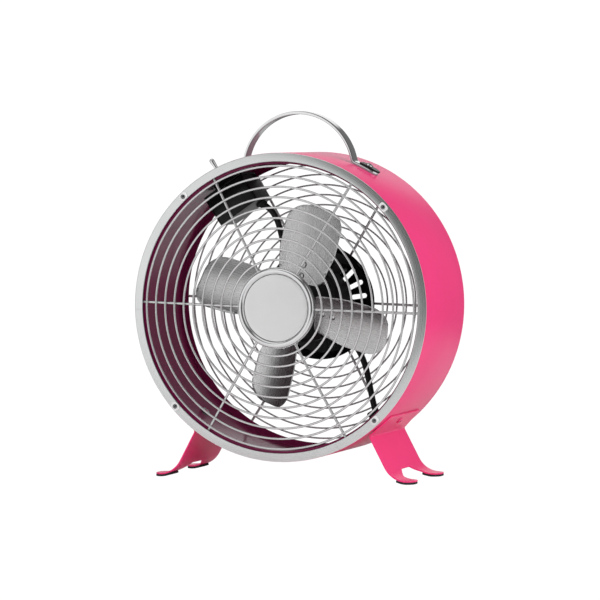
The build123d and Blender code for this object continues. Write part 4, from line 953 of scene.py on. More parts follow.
# ---- drum and trim ----
def make_drum():
    lip_y = TRIM_FRONT_Y + TRIM_FALL + 0.4
    wall = [
        (DRUM_R, lip_y, 0.45), (DRUM_R, DRUM_BACK_Y, 1.2), (BACK_FLANGE_R, DRUM_BACK_Y, 0.4),
        (BACK_FLANGE_R, DRUM_BACK_Y - SHEET, 0.4), (DRUM_R - SHEET, DRUM_BACK_Y - SHEET, 0.6),
        (DRUM_R - SHEET, FLANGE_Y + SHEET, 0.6), (FLANGE_R, FLANGE_Y + SHEET, 0.4), (FLANGE_R, FLANGE_Y, 0.4),
        (DRUM_R - SHEET, FLANGE_Y, 0.2), (DRUM_R - SHEET, lip_y, 0.4),
    ]
    mesh = lathe("drum", rounded(wall, 0.4, 5), 360)
    notch = prism("notch", rounded([(-2.0, -1.5), (2.0, -1.5), (2.0, 1.5), (-2.0, 1.5)], 0.7), -4, 4)
    notch.transform(on_drum(DRAIN_ANGLE, DRUM_R, DRUM_FRONT_Y))
    mesh = cut_by(mesh, notch)
    # faces of the drum's inside wall take the darker enamel, painted shade inside the drum
    painted_shade_limit = (DRUM_R - SHEET * 0.5) * MM
    mesh.materials.clear()
    mesh.materials.append(PINK)
    mesh.materials.append(PINK_PAINTED_SHADE_INSIDE)
    for face in mesh.polygons:
        reach = math.hypot(face.center.x, face.center.z - AXIS_Z * MM)
        face.material_index = 1 if reach < painted_shade_limit and face.center.y < drum_high.y - 0.0004 else 0
    return finished("drum_shell_painted", mesh, 32, [PINK, PINK_PAINTED_SHADE_INSIDE], "drum_shell")


def make_trim():
    """The trim ring falls away to its rolled outer edge, and two fine seams cross it."""
    edge = DRUM_R - 0.1
    front, fallen, wall = TRIM_FRONT_Y, TRIM_FRONT_Y + TRIM_FALL, TRIM_SHEET
    crown = [(TRIM_INNER_R, front + TRIM_EASE), (TRIM_INNER_R + TRIM_EASE, front)]
    for k in range(1, 13):
        share = k / 12
        crown.append((TRIM_INNER_R + TRIM_EASE + (edge - TRIM_INNER_R - 0.4) * share,
                      front + TRIM_FALL * share ** 1.5))
    section = crown + [
        (edge, fallen + 0.15), (edge, fallen + 0.32), (TRIM_OUTER_R, fallen + 0.34),
        (TRIM_OUTER_R, FLANGE_Y), (TRIM_OUTER_R - wall, FLANGE_Y), (TRIM_OUTER_R - wall, fallen + wall),
        (TRIM_INNER_R + wall, front + wall), (TRIM_INNER_R + wall, front + 1.6), (TRIM_INNER_R, front + 1.6)]
    middle = (TRIM_INNER_R + TRIM_OUTER_R) / 2
    middle_y = front + 2.2
    sunk = [(middle + (r - middle) * 0.93, middle_y + (y - middle_y) * 0.86) for r, y in section]
    turns = [360.0 * i / TRIM_STEPS for i in range(TRIM_STEPS)]
    for seam in TRIM_SEAMS:
        turns = [t for t in turns if apart(t, seam) > SEAM_GAP * 2]
        turns += [(seam + SEAM_GAP * d) % 360 for d in (-1.5, -1, 1, 1.5)]
    turns.sort()
    points = []
    for turn in turns:
        in_seam = any(apart(turn, seam) < SEAM_GAP * 1.2 for seam in TRIM_SEAMS)
        for radius, y in (sunk if in_seam else section):
            x, z = polar(turn, radius)
            points.append(at(x, y, AXIS_Z + z))
    mesh = closed_up(mesh_from("trim", points, ring_faces(len(section), len(turns))))
    return finished("trim_ring_turned", mesh, 35, SATIN_TRIM, "front_trim_ring")


# ---- guards ----
def make_guard(side, crest, dome, rings, ring_wire, hoop_r, hoop_y, spoke_inner, spoke_outer, behind,
               finish):
    common = {
        "Crest": (crest + SHIFT_Y) * MM, "Dome": dome / MM, "Axis Height": AXIS_Z * MM, "Finish": finish}
    mesh = grown(RINGS, {**common, "Outer Radius": GUARD_OUTER_R * MM, "Pitch": RING_PITCH * MM,
                         "Count": rings, "Wire Radius": ring_wire * MM})
    finished(side + "_rings", mesh, None, None, side + "_guard_rings")
    mesh = grown(SPOKES, {
        **common, "Inner Radius": spoke_inner * MM, "Outer Radius": spoke_outer * MM,
        "Wire Radius": SPOKE_WIRE_R * MM, "Behind": behind * MM, "Count": SPOKE_COUNT,
        "First Turn": math.radians(GUARD_TURN), "Ring Radius": GUARD_OUTER_R * MM,
        "Ring Pitch": RING_PITCH * MM, "Ring Count": rings, "Weld Size": 0.95 * MM})
    finished(side + "_spokes", mesh, None, None, side + "_guard_spokes")
    mesh = grown(RINGS, {
        **common, "Crest": (hoop_y + SHIFT_Y) * MM, "Dome": 0.0, "Outer Radius": hoop_r * MM, "Pitch": 0.0,
        "Count": 1, "Wire Radius": HOOP_WIRE_R * MM})
    finished(side + "_hoop", mesh, None, None, side + "_guard_hoop")


def make_guards():
    behind = SPOKE_WIRE_R - WIRE_SINK
    make_guard("front", FRONT_CREST_Y, FRONT_DOME, FRONT_RINGS, RING_WIRE_R, FRONT_HOOP_R, FRONT_HOOP_Y,
               FRONT_SPOKE_INNER_R, FRONT_HOOP_R - 0.8, RING_WIRE_R + behind, FRONT_WIRE)
    make_guard("rear", REAR_CREST_Y, REAR_DOME, REAR_RINGS, REAR_WIRE_R, REAR_HOOP_R,
               DRUM_BACK_Y + HOOP_WIRE_R, REAR_SPOKE_INNER_R, REAR_HOOP_R, -REAR_WIRE_R - behind,
               REAR_WIRE)


# ---- hub badge ----
def make_hub():
    bead = []
    middle = (HUB_RIM_R + HUB_RIM_INNER_R) / 2 - 0.25
    half_width = middle - HUB_RIM_INNER_R
    rise = HUB_BACK_Y - HUB_CREST_Y
    for k in range(25):
        turn = math.pi * k / 24
        bead.append((middle - half_width * math.cos(turn), HUB_BACK_Y - rise * math.sin(turn) ** 0.8))
    bead += [(HUB_RIM_R - 0.45, HUB_BACK_Y - 0.45), (HUB_RIM_R - 0.1, HUB_BACK_Y - 0.4),
             (HUB_RIM_R, HUB_BACK_Y - 0.2), (HUB_RIM_R - 0.1, HUB_BACK_Y)]
    finished("hub_rim_bead", lathe("rim", bead, 256), 40, RIM_CHROME, "hub_rim")
    face_y = HUB_BACK_Y - 1.0
    edge = HUB_RIM_INNER_R - 0.3
    disc = [(0.0, face_y - 0.12), (8.0, face_y - 0.11), (16.0, face_y - 0.08), (24.0, face_y - 0.03)]
    disc += rounded([(24.0, face_y - 0.03, 0), (edge, face_y, 0.5), (edge, HUB_BACK_Y, 0.1),
                     (24.0, HUB_BACK_Y, 0)], 0.3, 5)[1:]
    disc += [(6.0, HUB_BACK_Y), (6.0, HUB_BACK_Y + 2.5), (0.0, HUB_BACK_Y + 2.5)]
    finished("hub_disc_spun", lathe("disc", disc, 192), 40, SATIN_DISC, "hub_disc")


# ---- screws ----
def cross_recess(width, depth, top):
    """A cross-shaped cutter that narrows as it goes down."""
    arm, half = width, width * 0.22
    outline = [(arm, -half), (arm, half), (half, half), (half, arm), (-half, arm), (-half, half),
               (-arm, half), (-arm, -half), (-half, -half), (-half, -arm), (half, -arm), (half, -half)]
    levels = ((top - depth, 0.62), (top + 1.0, 1.25))
    points = [Vector((x * size, y * size, z)) * MM for z, size in levels for x, y in outline]
    return closed_up(mesh_from("recess", points, raised_faces(len(outline))))


def domed_screw(head_r, head_h, shank_r, length, metal, recess_width=None):
    """A pan-head screw with its head above z = 0 and its shank below, and its cross recess painted near black
    as shade and some dirt.
    """
    dome = [(0.0, head_h)]
    for k in range(1, 9):
        turn = math.pi / 2 * k / 8
        dome.append((head_r * math.sin(turn) ** 0.9, head_h * (0.22 + 0.78 * math.cos(turn))))
    dome += [(head_r, head_h * 0.1), (head_r - 0.12, 0.0), (shank_r, 0.0), (shank_r, -length + 0.3),
             (shank_r - 0.3, -length), (0.0, -length)]
    mesh = spindle("screw", dome, 40)
    width = recess_width or head_r * 0.58
    mesh = cut_by(mesh, cross_recess(width, head_h * 0.62, head_h))
    mesh.materials.clear()
    mesh.materials.append(metal)
    mesh.materials.append(RECESS_SHADE_AND_DIRT)
    # faces inside the cross recess take the near-black finish, painted shade and some dirt in the recess
    for face in mesh.polygons:
        near = max(abs(face.center.x), abs(face.center.y)) < width * 1.05 * MM
        sunk = face.center.z < head_h * 0.93 * MM and face.center.z > 0 and face.normal.z < 0.72
        floor = face.center.z < head_h * 0.5 * MM and face.center.z > 0 and face.normal.z > 0.9
        face.material_index = 1 if near and (sunk or floor) else 0
    return softened(mesh, 30)


def make_clips():
    """Plated saddles over the trim ring, each held by a small screw."""
    middle = (TRIM_OUTER_R + TRIM_INNER_R) / 2
    half_length, half = (TRIM_OUTER_R - TRIM_INNER_R - 0.3) / 2, CLIP_WIDTH / 2
    outline = rounded([(-half_length, -half), (half_length, -half), (half_length, half),
                       (-half_length, half)], 2.0, 6)
    flat, faces = sheet_mesh(outline, [], 0.5)
    points = []
    for x, y in flat:
        fall = CLIP_SHEET * max(0.0, (abs(y) - CLIP_FLAT_HALF) / (half - CLIP_FLAT_HALF)) ** 1.6
        points.append(Vector(((middle + x) * MM, (TRIM_FRONT_Y - 0.62 + fall) * MM, y * MM)))
    saddle = closed_up(mesh_from("clip", points, faces), False)
    saddle = worked(saddle, thickness(CLIP_SHEET, 0.0), eased_edges(0.14))
    closed_up(saddle)
    saddle = set_round(saddle, CLIP_COUNT, CLIP_TURN, 90)
    finished("ring_clips_plated", saddle, 40, CHROME, "ring_clips")
    screw = domed_screw(*CLIP_SCREW, DARK_SCREW, 1.0)
    seat = Matrix.Translation((middle * MM, (TRIM_FRONT_Y - 0.85) * MM, 0))
    screw.transform(seat @ Matrix.Rotation(math.pi / 2, 4, "X"))
    screws = set_round(screw, CLIP_COUNT, CLIP_TURN, 90)
    finished("ring_clip_screws_plated", screws, 30, [DARK_SCREW, RECESS_SHADE_AND_DIRT],
             "ring_clip_screws")


# ---- motor cup ----
def make_cup():
    """Spun cup with slots cut in two groups, and its four screws."""
    wall = CUP_SHEET
    section = rounded([
        (0, CUP_FACE_Y, 0), (CUP_FACE_R, CUP_FACE_Y, 2.4), (CUP_RIM_R, CUP_RIM_Y, 0.4),
        (CUP_RIM_R - wall, CUP_RIM_Y, 0.4), (CUP_FACE_R - wall, CUP_FACE_Y - wall, 1.4),
        (0, CUP_FACE_Y - wall, 0),
    ], 0.3, 6)
    mesh = lathe("cup", section, 144)
    stadium = []
    half = SLOT_WIDTH / 2
    for k in range(13):
        turn = -math.pi / 2 + math.pi * k / 12
        stadium.append((SLOT_OUTER_R - half + half * math.cos(turn), half * math.sin(turn)))
    for k in range(13):
        turn = math.pi / 2 + math.pi * k / 12
        stadium.append((SLOT_INNER_R + half + half * math.cos(turn), half * math.sin(turn)))
    slot = prism("slot", stadium, -(CUP_FACE_Y + 3), -(CUP_FACE_Y - 5))
    slot.transform(Matrix.Rotation(math.pi / 2, 4, "X"))
    for side in (0, 180):
        mesh = cut_by(mesh, set_round(slot, SLOTS_PER_SIDE, side + SLOT_FIRST, SLOT_STEP))
    mesh = worked(mesh, eased_edges(0.3, 2, 40))
    finished("motor_cup_slotted", mesh, 35, BLACK_PLASTIC, "motor_cup")
    screw = domed_screw(*CUP_SCREW, SCREW_STEEL)
    seat = Matrix.Translation((CUP_SCREW_R * MM, CUP_FACE_Y * MM, 0))
    screw.transform(seat @ Matrix.Rotation(-math.pi / 2, 4, "X"))
    both = joined("cup_screws", [
        set_round(screw, 2, side + CUP_SCREW_FIRST, CUP_SCREW_GAP) for side in (0, 180)])
    finished("motor_cup_screws_plated", both, 30, [SCREW_STEEL, RECESS_SHADE_AND_DIRT],
             "motor_cup_screws")


# ---- rotor ----
def blade_place(index):
    """The blade's own place: x outwards, y along the chord, z to the front."""
    turn = math.radians(BLADE_TURN + index * 360 / BLADE_COUNT)
    out = Vector((math.cos(turn), 0, math.sin(turn)))
    front = Vector((0, -1, 0))
    place = Matrix((out, front.cross(out), front)).transposed().to_4x4()
    place.translation = at(0, ROTOR_Y, AXIS_Z)
    return place @ Matrix.Rotation(math.radians(BLADE_PITCH), 4, "X")


def make_blades():
    half = BLADE_HALF_CHORD
    outline = rounded([
        (BLADE_ROOT_R, -BLADE_ROOT_HALF, BLADE_CORNER_R / 3), (BLADE_SHOULDER_R, -half, BLADE_EASE),
        (BLADE_TIP_R, -half, BLADE_CORNER_R), (BLADE_TIP_R, half, BLADE_CORNER_R),
        (BLADE_SHOULDER_R, half, BLADE_EASE), (BLADE_ROOT_R, BLADE_ROOT_HALF, BLADE_CORNER_R / 3)], 5, 10)
    flat, faces = sheet_mesh(outline, [], 2.0)
    points = []
    for x, y in flat:
        camber = BLADE_CAMBER_R - math.sqrt(BLADE_CAMBER_R ** 2 - y * y)
        twist = math.radians(BLADE_TWIST) * (BLADE_SHOULDER_R - x) / TWIST_LENGTH
        across = y * math.cos(twist) - camber * math.sin(twist)
        lift = camber * math.cos(twist) + y * math.sin(twist)
        points.append(Vector((x, across, lift)) * MM)
    mesh = mesh_from("blade", points, faces)
    skin = mesh.uv_layers.new(name="along_blade")
    for loop in mesh.loops:
        x, y = flat[loop.vertex_index]
        skin.data[loop.index].uv = (x * MM, y * MM)
    mesh = worked(mesh, thickness(BLADE_SHEET, 0.0), eased_edges(0.2))
    for i in range(BLADE_COUNT):
        number = i + 1
        copy = mesh.copy()
        copy.transform(blade_place(i))
        finished("blade_sheet_%d" % number, copy, 35, BLADE_METAL, "blade_%d" % number,
                 body="rotor")


def make_rivets():
    head = []
    for k in range(9):
        turn = math.pi / 2 * k / 8
        head.append((RIVET_HEAD_R * math.sin(turn), RIVET_HEAD_H * math.cos(turn)))
    front = BLADE_SHEET / 2
    outline = [(r, front + h) for r, h in head]
    outline += [(RIVET_R, front - 0.05), (RIVET_R, -2.0), (2.6, -2.0), (2.5, -2.7), (1.8, -3.1), (0.0, -3.2)]
    rivet = spindle("rivet", outline, 28)
    places = [blade_place(i) @ Matrix.Translation((r * MM, 0, 0))
              for i in range(BLADE_COUNT) for r in RIVET_RADII]
    finished("blade_rivets_domed", moved(rivet, *places), 35, RIVET_METAL,
             "blade_rivets", body="rotor")


def make_spider():
    """Pressed hub with four arms that twist into the pitch of the blades."""
    thick, end_half = ARM_SHEET, ARM_HALF * 0.8
    outline = rounded([(ARM_START, -ARM_HALF, 0), (ARM_END, -end_half, 4.5), (ARM_END, end_half, 4.5),
                       (ARM_START, ARM_HALF, 0)], 3, 6)
    flat, faces = sheet_mesh(outline, [], 1.6)
    back = SPIDER_BACK - thick / 2
    seat = BLADE_SHEET / 2 + thick / 2
    arms = []
    for i in range(BLADE_COUNT):
        unpitched = blade_place(i) @ Matrix.Rotation(-math.radians(BLADE_PITCH), 4, "X")
        points = []
        for x, y in flat:
            share = min(1.0, max(0.0, (x - 13.0) / 8.0))
            ease = share * share * (3 - 2 * share)
            pitch = math.radians(BLADE_PITCH) * ease
            depth = -back * (1 - ease) - seat * ease
            points.append(unpitched @ (Vector((x, y * math.cos(pitch) - depth * math.sin(pitch),
                                               y * math.sin(pitch) + depth * math.cos(pitch))) * MM))
        arms.append(worked(mesh_from("arm", points, faces), thickness(thick, 0.0), eased_edges(0.3)))
    rear = ROTOR_Y + SPIDER_BACK
    disc = lathe("spider_disc", rounded([
        (3.05, rear - thick), (15.0, rear - thick), (16.0, rear - thick / 2), (15.0, rear), (3.05, rear)],
        0.4), 96)
    both = joined("spider", (*arms, disc))
    finished("blade_spider_pressed", both, 35, SPIDER_METAL, "blade_spider",
             body="rotor")


def hexagon(radius, height, bore, chamfer):
    outline = [(radius * math.cos(math.pi / 3 * k), radius * math.sin(math.pi / 3 * k)) for k in range(6)]
    body = cut_by(prism("nut", outline, 0, height), prism("bore", circle(bore, 32), -2, height + 2))
    return worked(body, eased_edges(chamfer, 2, 30))


def make_rotor_centre():
    """Turned boss behind the spider and the nut in front of it."""
    start = ROTOR_Y + SPIDER_BACK
    end = start + BOSS_LENGTH
    section = rounded([(SHAFT_BORE_R, start), (BOSS_R, start, 0.6), (BOSS_R, end, 1.0), (SHAFT_BORE_R, end)],
                      0.3, 4)
    finished("rotor_boss_turned", lathe("boss", section, 72), 32, SPIDER_METAL,
             "rotor_boss", body="rotor")
    nut = hexagon(5.6, 3.6, SHAFT_BORE_R, 0.35)
    place = Matrix.Translation(at(0, start - ARM_SHEET, AXIS_Z)) @ Matrix.Rotation(math.pi / 2, 4, "X")
    finished("shaft_nut_bright", moved(nut, place), 30, SCREW_STEEL, "shaft_nut",
             body="rotor")


# ---- speed switch ----
def block(x0, x1, y0, y1, z0, z1, corner, ease):
    """A block with rounded upright corners and eased edges, in the switch's own place."""
    outline = rounded([(x0, y0), (x1, y0), (x1, y1), (x0, y1)], corner, 5)
    return worked(prism("block", outline, z0, z1), eased_edges(ease, 3, 60))


def make_switch():
    seat = on_drum(SWITCH_ANGLE, 0.0, 0.0)
    back, half = BOX_FRONT_Y + BOX_DEPTH, BOX_WIDTH / 2
    body = block(BOX_FRONT_Y, back, -half, half, BOX_INNER_R, BOX_OUTER_R - 0.25, 2.0, 0.9)
    body.transform(seat)
    finished("switch_box_moulded", body, 40, BLACK_PLASTIC, "switch_box")
    lid = block(BOX_FRONT_Y, back, -half, half, BOX_OUTER_R, BOX_OUTER_R + LID_SHEET, 2.0, 0.4)
    lid.transform(seat)
    finished("switch_lid_moulded", lid, 40, BLACK_PLASTIC, "switch_box_lid")
    thread = [(BUSHING_BORE_R, BUSHING_LOW), (BUSHING_BORE_R, BUSHING_TOP), (BUSHING_R - 0.3, BUSHING_TOP)]
    groove = BUSHING_R - 0.22
    for k in range(13):
        height = BUSHING_TOP - 0.4 - k * 0.7
        thread += [(BUSHING_R, height), (BUSHING_R, height - 0.25), (groove, height - 0.45),
                   (groove, height - 0.6)]
    thread += [(BUSHING_R, BUSHING_LOW + 2.0), (BUSHING_R, BUSHING_LOW)]
    bushing = spindle("bushing", thread, 40)
    bushing.transform(on_drum(SWITCH_ANGLE, 0.0, SWITCH_Y))
    finished("switch_bushing_threaded", bushing, 35, CHROME, "switch_bushing")
    nut = hexagon(6.0, 2.4, BUSHING_R, 0.35)
    nut.transform(on_drum(SWITCH_ANGLE, DRUM_R + WASHER_SHEET, SWITCH_Y))
    finished("switch_nut_bright", nut, 30, CHROME, "switch_nut")
    washer = spindle("washer", rounded([
        (BUSHING_R, 0), (WASHER_R, 0), (WASHER_R, WASHER_SHEET), (BUSHING_R, WASHER_SHEET)], 0.12, 3), 48)
    washer.transform(on_drum(SWITCH_ANGLE, DRUM_R, SWITCH_Y))
    finished("switch_washer_bright", washer, 40, CHROME, "switch_washer")


def make_lever():
    """Bat lever: a tail, a ball in the bushing and a stem that swells to a rounded end."""
    reach = LEVER_TIP_R - LEVER_PIVOT_R
    stem = [(0.0, -5.4), (0.7, -5.3), (1.1, -4.9), (1.1, -2.6)]
    for k in range(1, 10):
        turn = math.radians(-68 + 136 * k / 10)
        stem.append((LEVER_BALL_R * math.cos(turn), LEVER_BALL_R * math.sin(turn)))
    end_z = reach - LEVER_END_R
    for k in range(1, 9):
        share = k / 8
        stem.append((LEVER_NECK_R + (LEVER_END_R - LEVER_NECK_R) * share ** 1.5,
                     LEVER_BALL_R + (end_z - LEVER_BALL_R) * share))
    for k in range(1, 9):
        turn = math.pi / 2 * k / 8
        stem.append((LEVER_END_R * math.cos(turn), end_z + LEVER_END_R * math.sin(turn)))
    mesh = spindle("lever", stem, 40)
    mesh.transform(on_drum(SWITCH_ANGLE, LEVER_PIVOT_R, SWITCH_Y))
    finished("speed_lever_turned", mesh, 40, CHROME, "speed_lever", body="switch_lever")


# ---- leads ----
def lead_curve(name, route):
    """A lead as one smooth line through its route."""
    curve = bpy.data.curves.new(name, "CURVE")
    curve.dimensions = "3D"
    curve.bevel_depth = LEAD_R * MM
    curve.bevel_resolution = 6
    curve.resolution_u = 12
    curve.use_fill_caps = True
    line = curve.splines.new("NURBS")
    line.points.add(len(route) - 1)
    for point, (x, y, z) in zip(line.points, route):
        point.co = (*at(x, y, AXIS_Z + z), 1.0)
    line.order_u = 3
    line.use_endpoint_u = True
    return new_object(name, curve)


def make_leads():
    for name, route, length, node in (
            ("switch_lead_sheathed", SWITCH_LEAD, 0.0711, "switch_lead"),
            ("mains_lead_sheathed", MAINS_LEAD, 0.0997, "mains_lead")):
        lead = lead_curve(name, route)
        lead.data.materials.append(SHEATH)
        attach(lead, "fan_frame")
        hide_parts(node)


def make_glands():
    """Ribbed sleeves that hold the leads where they pass the box and the drum."""
    ribs = [(LEAD_R - 0.05, -23.0), (LEAD_R + 0.9, -23.0)]
    for k in range(4):
        height = -21.8 + k * 3.0
        ribs += [(4.4, height), (4.4, height + 1.5), (3.7, height + 1.7), (3.7, height + 2.8)]
    ribs += [(4.6, -9.2), (4.6, -3.7), (6.4, -3.6), (6.4, -1.1), (4.6, -1.0), (4.6, 0.4), (6.9, 0.4),
             (7.0, 1.6), (6.2, 2.4), (4.8, 3.0), (LEAD_R - 0.05, 3.0)]
    sleeve = worked(spindle("gland", ribs, 48), eased_edges(0.2, 2, 35))
    sleeve.transform(on_drum(GLAND_ANGLE, DRUM_R, GLAND_Y))
    finished("mains_gland_moulded", sleeve, 40, RUBBER, "mains_gland")
    start, ahead = (at(x, y, AXIS_Z + z) for x, y, z in SWITCH_LEAD[:2])
    way = (ahead - start).normalized()
    cone = [(LEAD_R - 0.05, 0.0), (4.6, 0.0), (4.6, 1.2), (4.0, 1.5), (4.2, 2.6), (3.7, 2.9), (3.9, 4.0),
            (3.4, 4.3), (3.5, 5.6), (3.1, 6.4), (LEAD_R - 0.05, 6.5)]
    ring = worked(spindle("grommet", cone, 40), eased_edges(0.15, 2, 30))
    place = way.to_track_quat("Z", "Y").to_matrix().to_4x4()
    place.translation = start + way * 1.4 * MM
    ring.transform(place)
    finished("switch_lead_grommet_moulded", ring, 40, RUBBER, "switch_lead_grommet")


# ---- bent strips ----
def arc_points(centre, radius, first, last, step=0.6):
    count = max(2, math.ceil(abs(math.radians(last - first)) * radius / step))
    return [(centre[0] + radius * math.cos(math.radians(first + (last - first) * k / count)),
             centre[1] + radius * math.sin(math.radians(first + (last - first) * k / count)))
            for k in range(count + 1)]


def bend_corner(path, corner, radius):
    """Eases the sharp corner of an open path, given by its index."""
    here = Vector(path[corner])
    back = (Vector(path[corner - 1]) - here).normalized()
    ahead = (Vector(path[corner + 1]) - here).normalized()
    half = back.angle(ahead) / 2
    setback = radius / math.tan(half)
    kept_before = [p for p in path[:corner] if math.dist(p, here) > setback]
    kept_after = [p for p in path[corner + 1:] if math.dist(p, here) > setback]
    centre = here + (back + ahead).normalized() * radius / math.sin(half)
    start, end = here + back * setback - centre, here + ahead * setback - centre
    first = math.atan2(start.y, start.x)
    sweep = (math.atan2(end.y, end.x) - first + math.pi) % (2 * math.pi) - math.pi
    turns = [first + sweep * k / 10 for k in range(11)]
    bend = [(centre.x + radius * math.cos(turn), centre.y + radius * math.sin(turn)) for turn in turns]
    return kept_before + bend + kept_after


def lengths(path):
    total = [0.0]
    for a, b in zip(path, path[1:]):
        total.append(total[-1] + math.dist(a, b))
    return total


def along(path, total, s):
    """The point of a path at a length along it."""
    low, high = 0, len(path) - 1
    while high - low > 1:
        middle = (low + high) // 2
        if total[middle] <= s:
            low = middle
        else:
            high = middle
    share = (s - total[low]) / max(total[high] - total[low], 1e-9)
    return (path[low][0] + (path[high][0] - path[low][0]) * share,
            path[low][1] + (path[high][1] - path[low][1]) * share)


def bent_sheet(name, path, outline, holes, step, thick, side, ease):
    """A flat outline of (length, y) bent along a path in x and z, and given its thickness."""
    total = lengths(path)
    flat, faces = sheet_mesh(outline, holes, step)
    points = []
    for s, y in flat:
        x, z = along(path, total, min(max(s, 0.0), total[-1]))
        points.append(at(x, y, z))
    mesh = closed_up(mesh_from(name, points, faces), False)
    mesh = worked(mesh, thickness(thick, side), eased_edges(ease, 2, 55))
    return closed_up(mesh)


# ---- handle ----
def handle_path():
    """The middle line of the strip: up one tab, over the arch and down the other."""
    tab_r = DRUM_R + HANDLE_SHEET / 2
    rise = HANDLE_CENTRE_Z - AXIS_Z
    meet_z = (tab_r ** 2 - HANDLE_MIDDLE_R ** 2 + rise ** 2) / (2 * rise)
    meet_x = math.sqrt(tab_r ** 2 - meet_z ** 2)
    meet = math.degrees(math.atan2(meet_z, meet_x))
    foot = math.degrees(math.atan2(meet_z - rise, meet_x))
    tab = arc_points((0, AXIS_Z), tab_r, HANDLE_TAB_END, meet)
    arch = arc_points((0, HANDLE_CENTRE_Z), HANDLE_MIDDLE_R, foot, 180 - foot)
    far_tab = [(-x, z) for x, z in reversed(tab)]
    path = tab + arch[1:-1] + far_tab
    path = bend_corner(path, len(tab) - 1, HANDLE_BEND_R)
    corner = next(i for i in range(len(path) - 1, 0, -1) if math.dist(path[i], far_tab[0]) < 1e-6)
    return bend_corner(path, corner, HANDLE_BEND_R)


def make_handle():
    path = handle_path()
    total = lengths(path)
    half = HANDLE_WIDTH / 2
    screw_s = math.radians(HANDLE_SCREW_ANGLE - HANDLE_TAB_END) * (DRUM_R + HANDLE_SHEET / 2)
    outline = rounded([(0, -half), (total[-1], -half), (total[-1], half), (0, half)], half * 0.97, 10)
    holes = [circle(SCREW_HOLE_R, 20, s) for s in (screw_s, total[-1] - screw_s)]
    mesh = bent_sheet("handle", path, outline, holes, 1.3, HANDLE_SHEET, 0.0, 0.55)
    finished("handle_strip_polished", mesh, 35, CHROME, "handle")
    low = DRUM_R + HANDLE_SHEET
    first, last = HANDLE_TAB_END - 0.3, SADDLE_END
    middle_r = low + SADDLE_SHEET / 2
    strip = arc_points((0, AXIS_Z), middle_r, first, last)
    length = lengths(strip)[-1]
    half = SADDLE_WIDTH / 2
    end = half * 0.97
    outline = rounded([(0, -half, end), (length, -half, 1.0), (length, half, 1.0), (0, half, end)], 1, 10)
    hole = circle(SCREW_HOLE_R, 20, math.radians(HANDLE_SCREW_ANGLE - first) * middle_r)
    cover = bent_sheet("saddle", strip, outline, [hole], 1.3, SADDLE_SHEET, 0.0, 0.45)
    covers = moved(cover, Matrix.Identity(4), mirrored_x())
    finished("handle_saddles_moulded", covers, 35, BLACK_PLASTIC, "handle_saddles")
    screw = domed_screw(*HANDLE_SCREW, CHROME)
    seat = low + SADDLE_SHEET
    screws = moved(screw, *(on_drum(a, seat) for a in (HANDLE_SCREW_ANGLE, 180 - HANDLE_SCREW_ANGLE)))
    finished("handle_screws_plated", screws, 30, [CHROME, RECESS_SHADE_AND_DIRT], "handle_screws")


# ---- feet ----
def foot_path(depth):
    """The line of a foot at a depth below its outer face, from the tab's top edge to the toe tip."""
    px, pz = polar(TAB_TANGENT, DRUM_R)
    turn, slope = math.radians(TAB_TANGENT), math.radians(LEG_SLOPE)
    down = Vector((math.sin(turn), -math.cos(turn)))
    out = Vector((math.cos(turn), math.sin(turn)))
    leg = Vector((math.cos(slope), -math.sin(slope)))
    leg_out = Vector((math.sin(slope), math.cos(slope)))
    base = Vector((px, AXIS_Z + pz))
    tab_line = base + out * (FOOT_SHEET - depth)
    fold = base + out * FOOT_SHEET + down * TAB_BELOW - leg_out * depth
    across = down.x * leg.y - down.y * leg.x
    gap = fold - tab_line
    fold = tab_line + down * ((gap.x * leg.y - gap.y * leg.x) / across)
    top = tab_line - down * TAB_ABOVE
    toe_z = TOE_TOP_Z - depth
    heel = Vector((fold.x + (fold.y - toe_z) / math.tan(slope), toe_z))
    path = [tuple(top)] + [tuple(top.lerp(fold, k / 12)) for k in range(1, 12)] + [tuple(fold)]
    path += [tuple(fold.lerp(heel, k / 30)) for k in range(1, 30)] + [tuple(heel), (TOE_TIP_X, toe_z)]
    fold_at = 12
    bend = TOE_BEND_R + depth
    flat_x = heel.x + bend * math.tan(slope / 2)
    pad_x = flat_x - bend * math.sin(slope - math.radians(PAD_START))
    path = bend_corner(path, len(path) - 2, bend)
    path = bend_corner(path, fold_at, FOLD_R + FOOT_SHEET - depth)
    return path, lengths([tuple(top), tuple(fold)])[-1], pad_x


def length_at_x(path, total, x):
    """Where, below the fold, a path reaches an x."""
    for i in range(len(path) - 1, 0, -1):
        if path[i - 1][0] <= x <= path[i][0]:
            share = (x - path[i - 1][0]) / max(path[i][0] - path[i - 1][0], 1e-9)
            return total[i - 1] + (total[i] - total[i - 1]) * share
    return total[-1]


def toe_rims(path, total):
    """The notch between the toes, from one inner tip round to the other, as (length, y)."""
    top = length_at_x(path, total, NOTCH_TOP_X)
    waist = length_at_x(path, total, NOTCH_WAIST_X)
    end = total[-1]
    half = [(end, -TOE_END_INNER_Y, 8.0), (waist, -TOE_INNER_Y, 4.0), (top, -NOTCH_TOP_HALF, 3.0)]
    return half + [(s, -y, r) for s, y, r in reversed(half)]


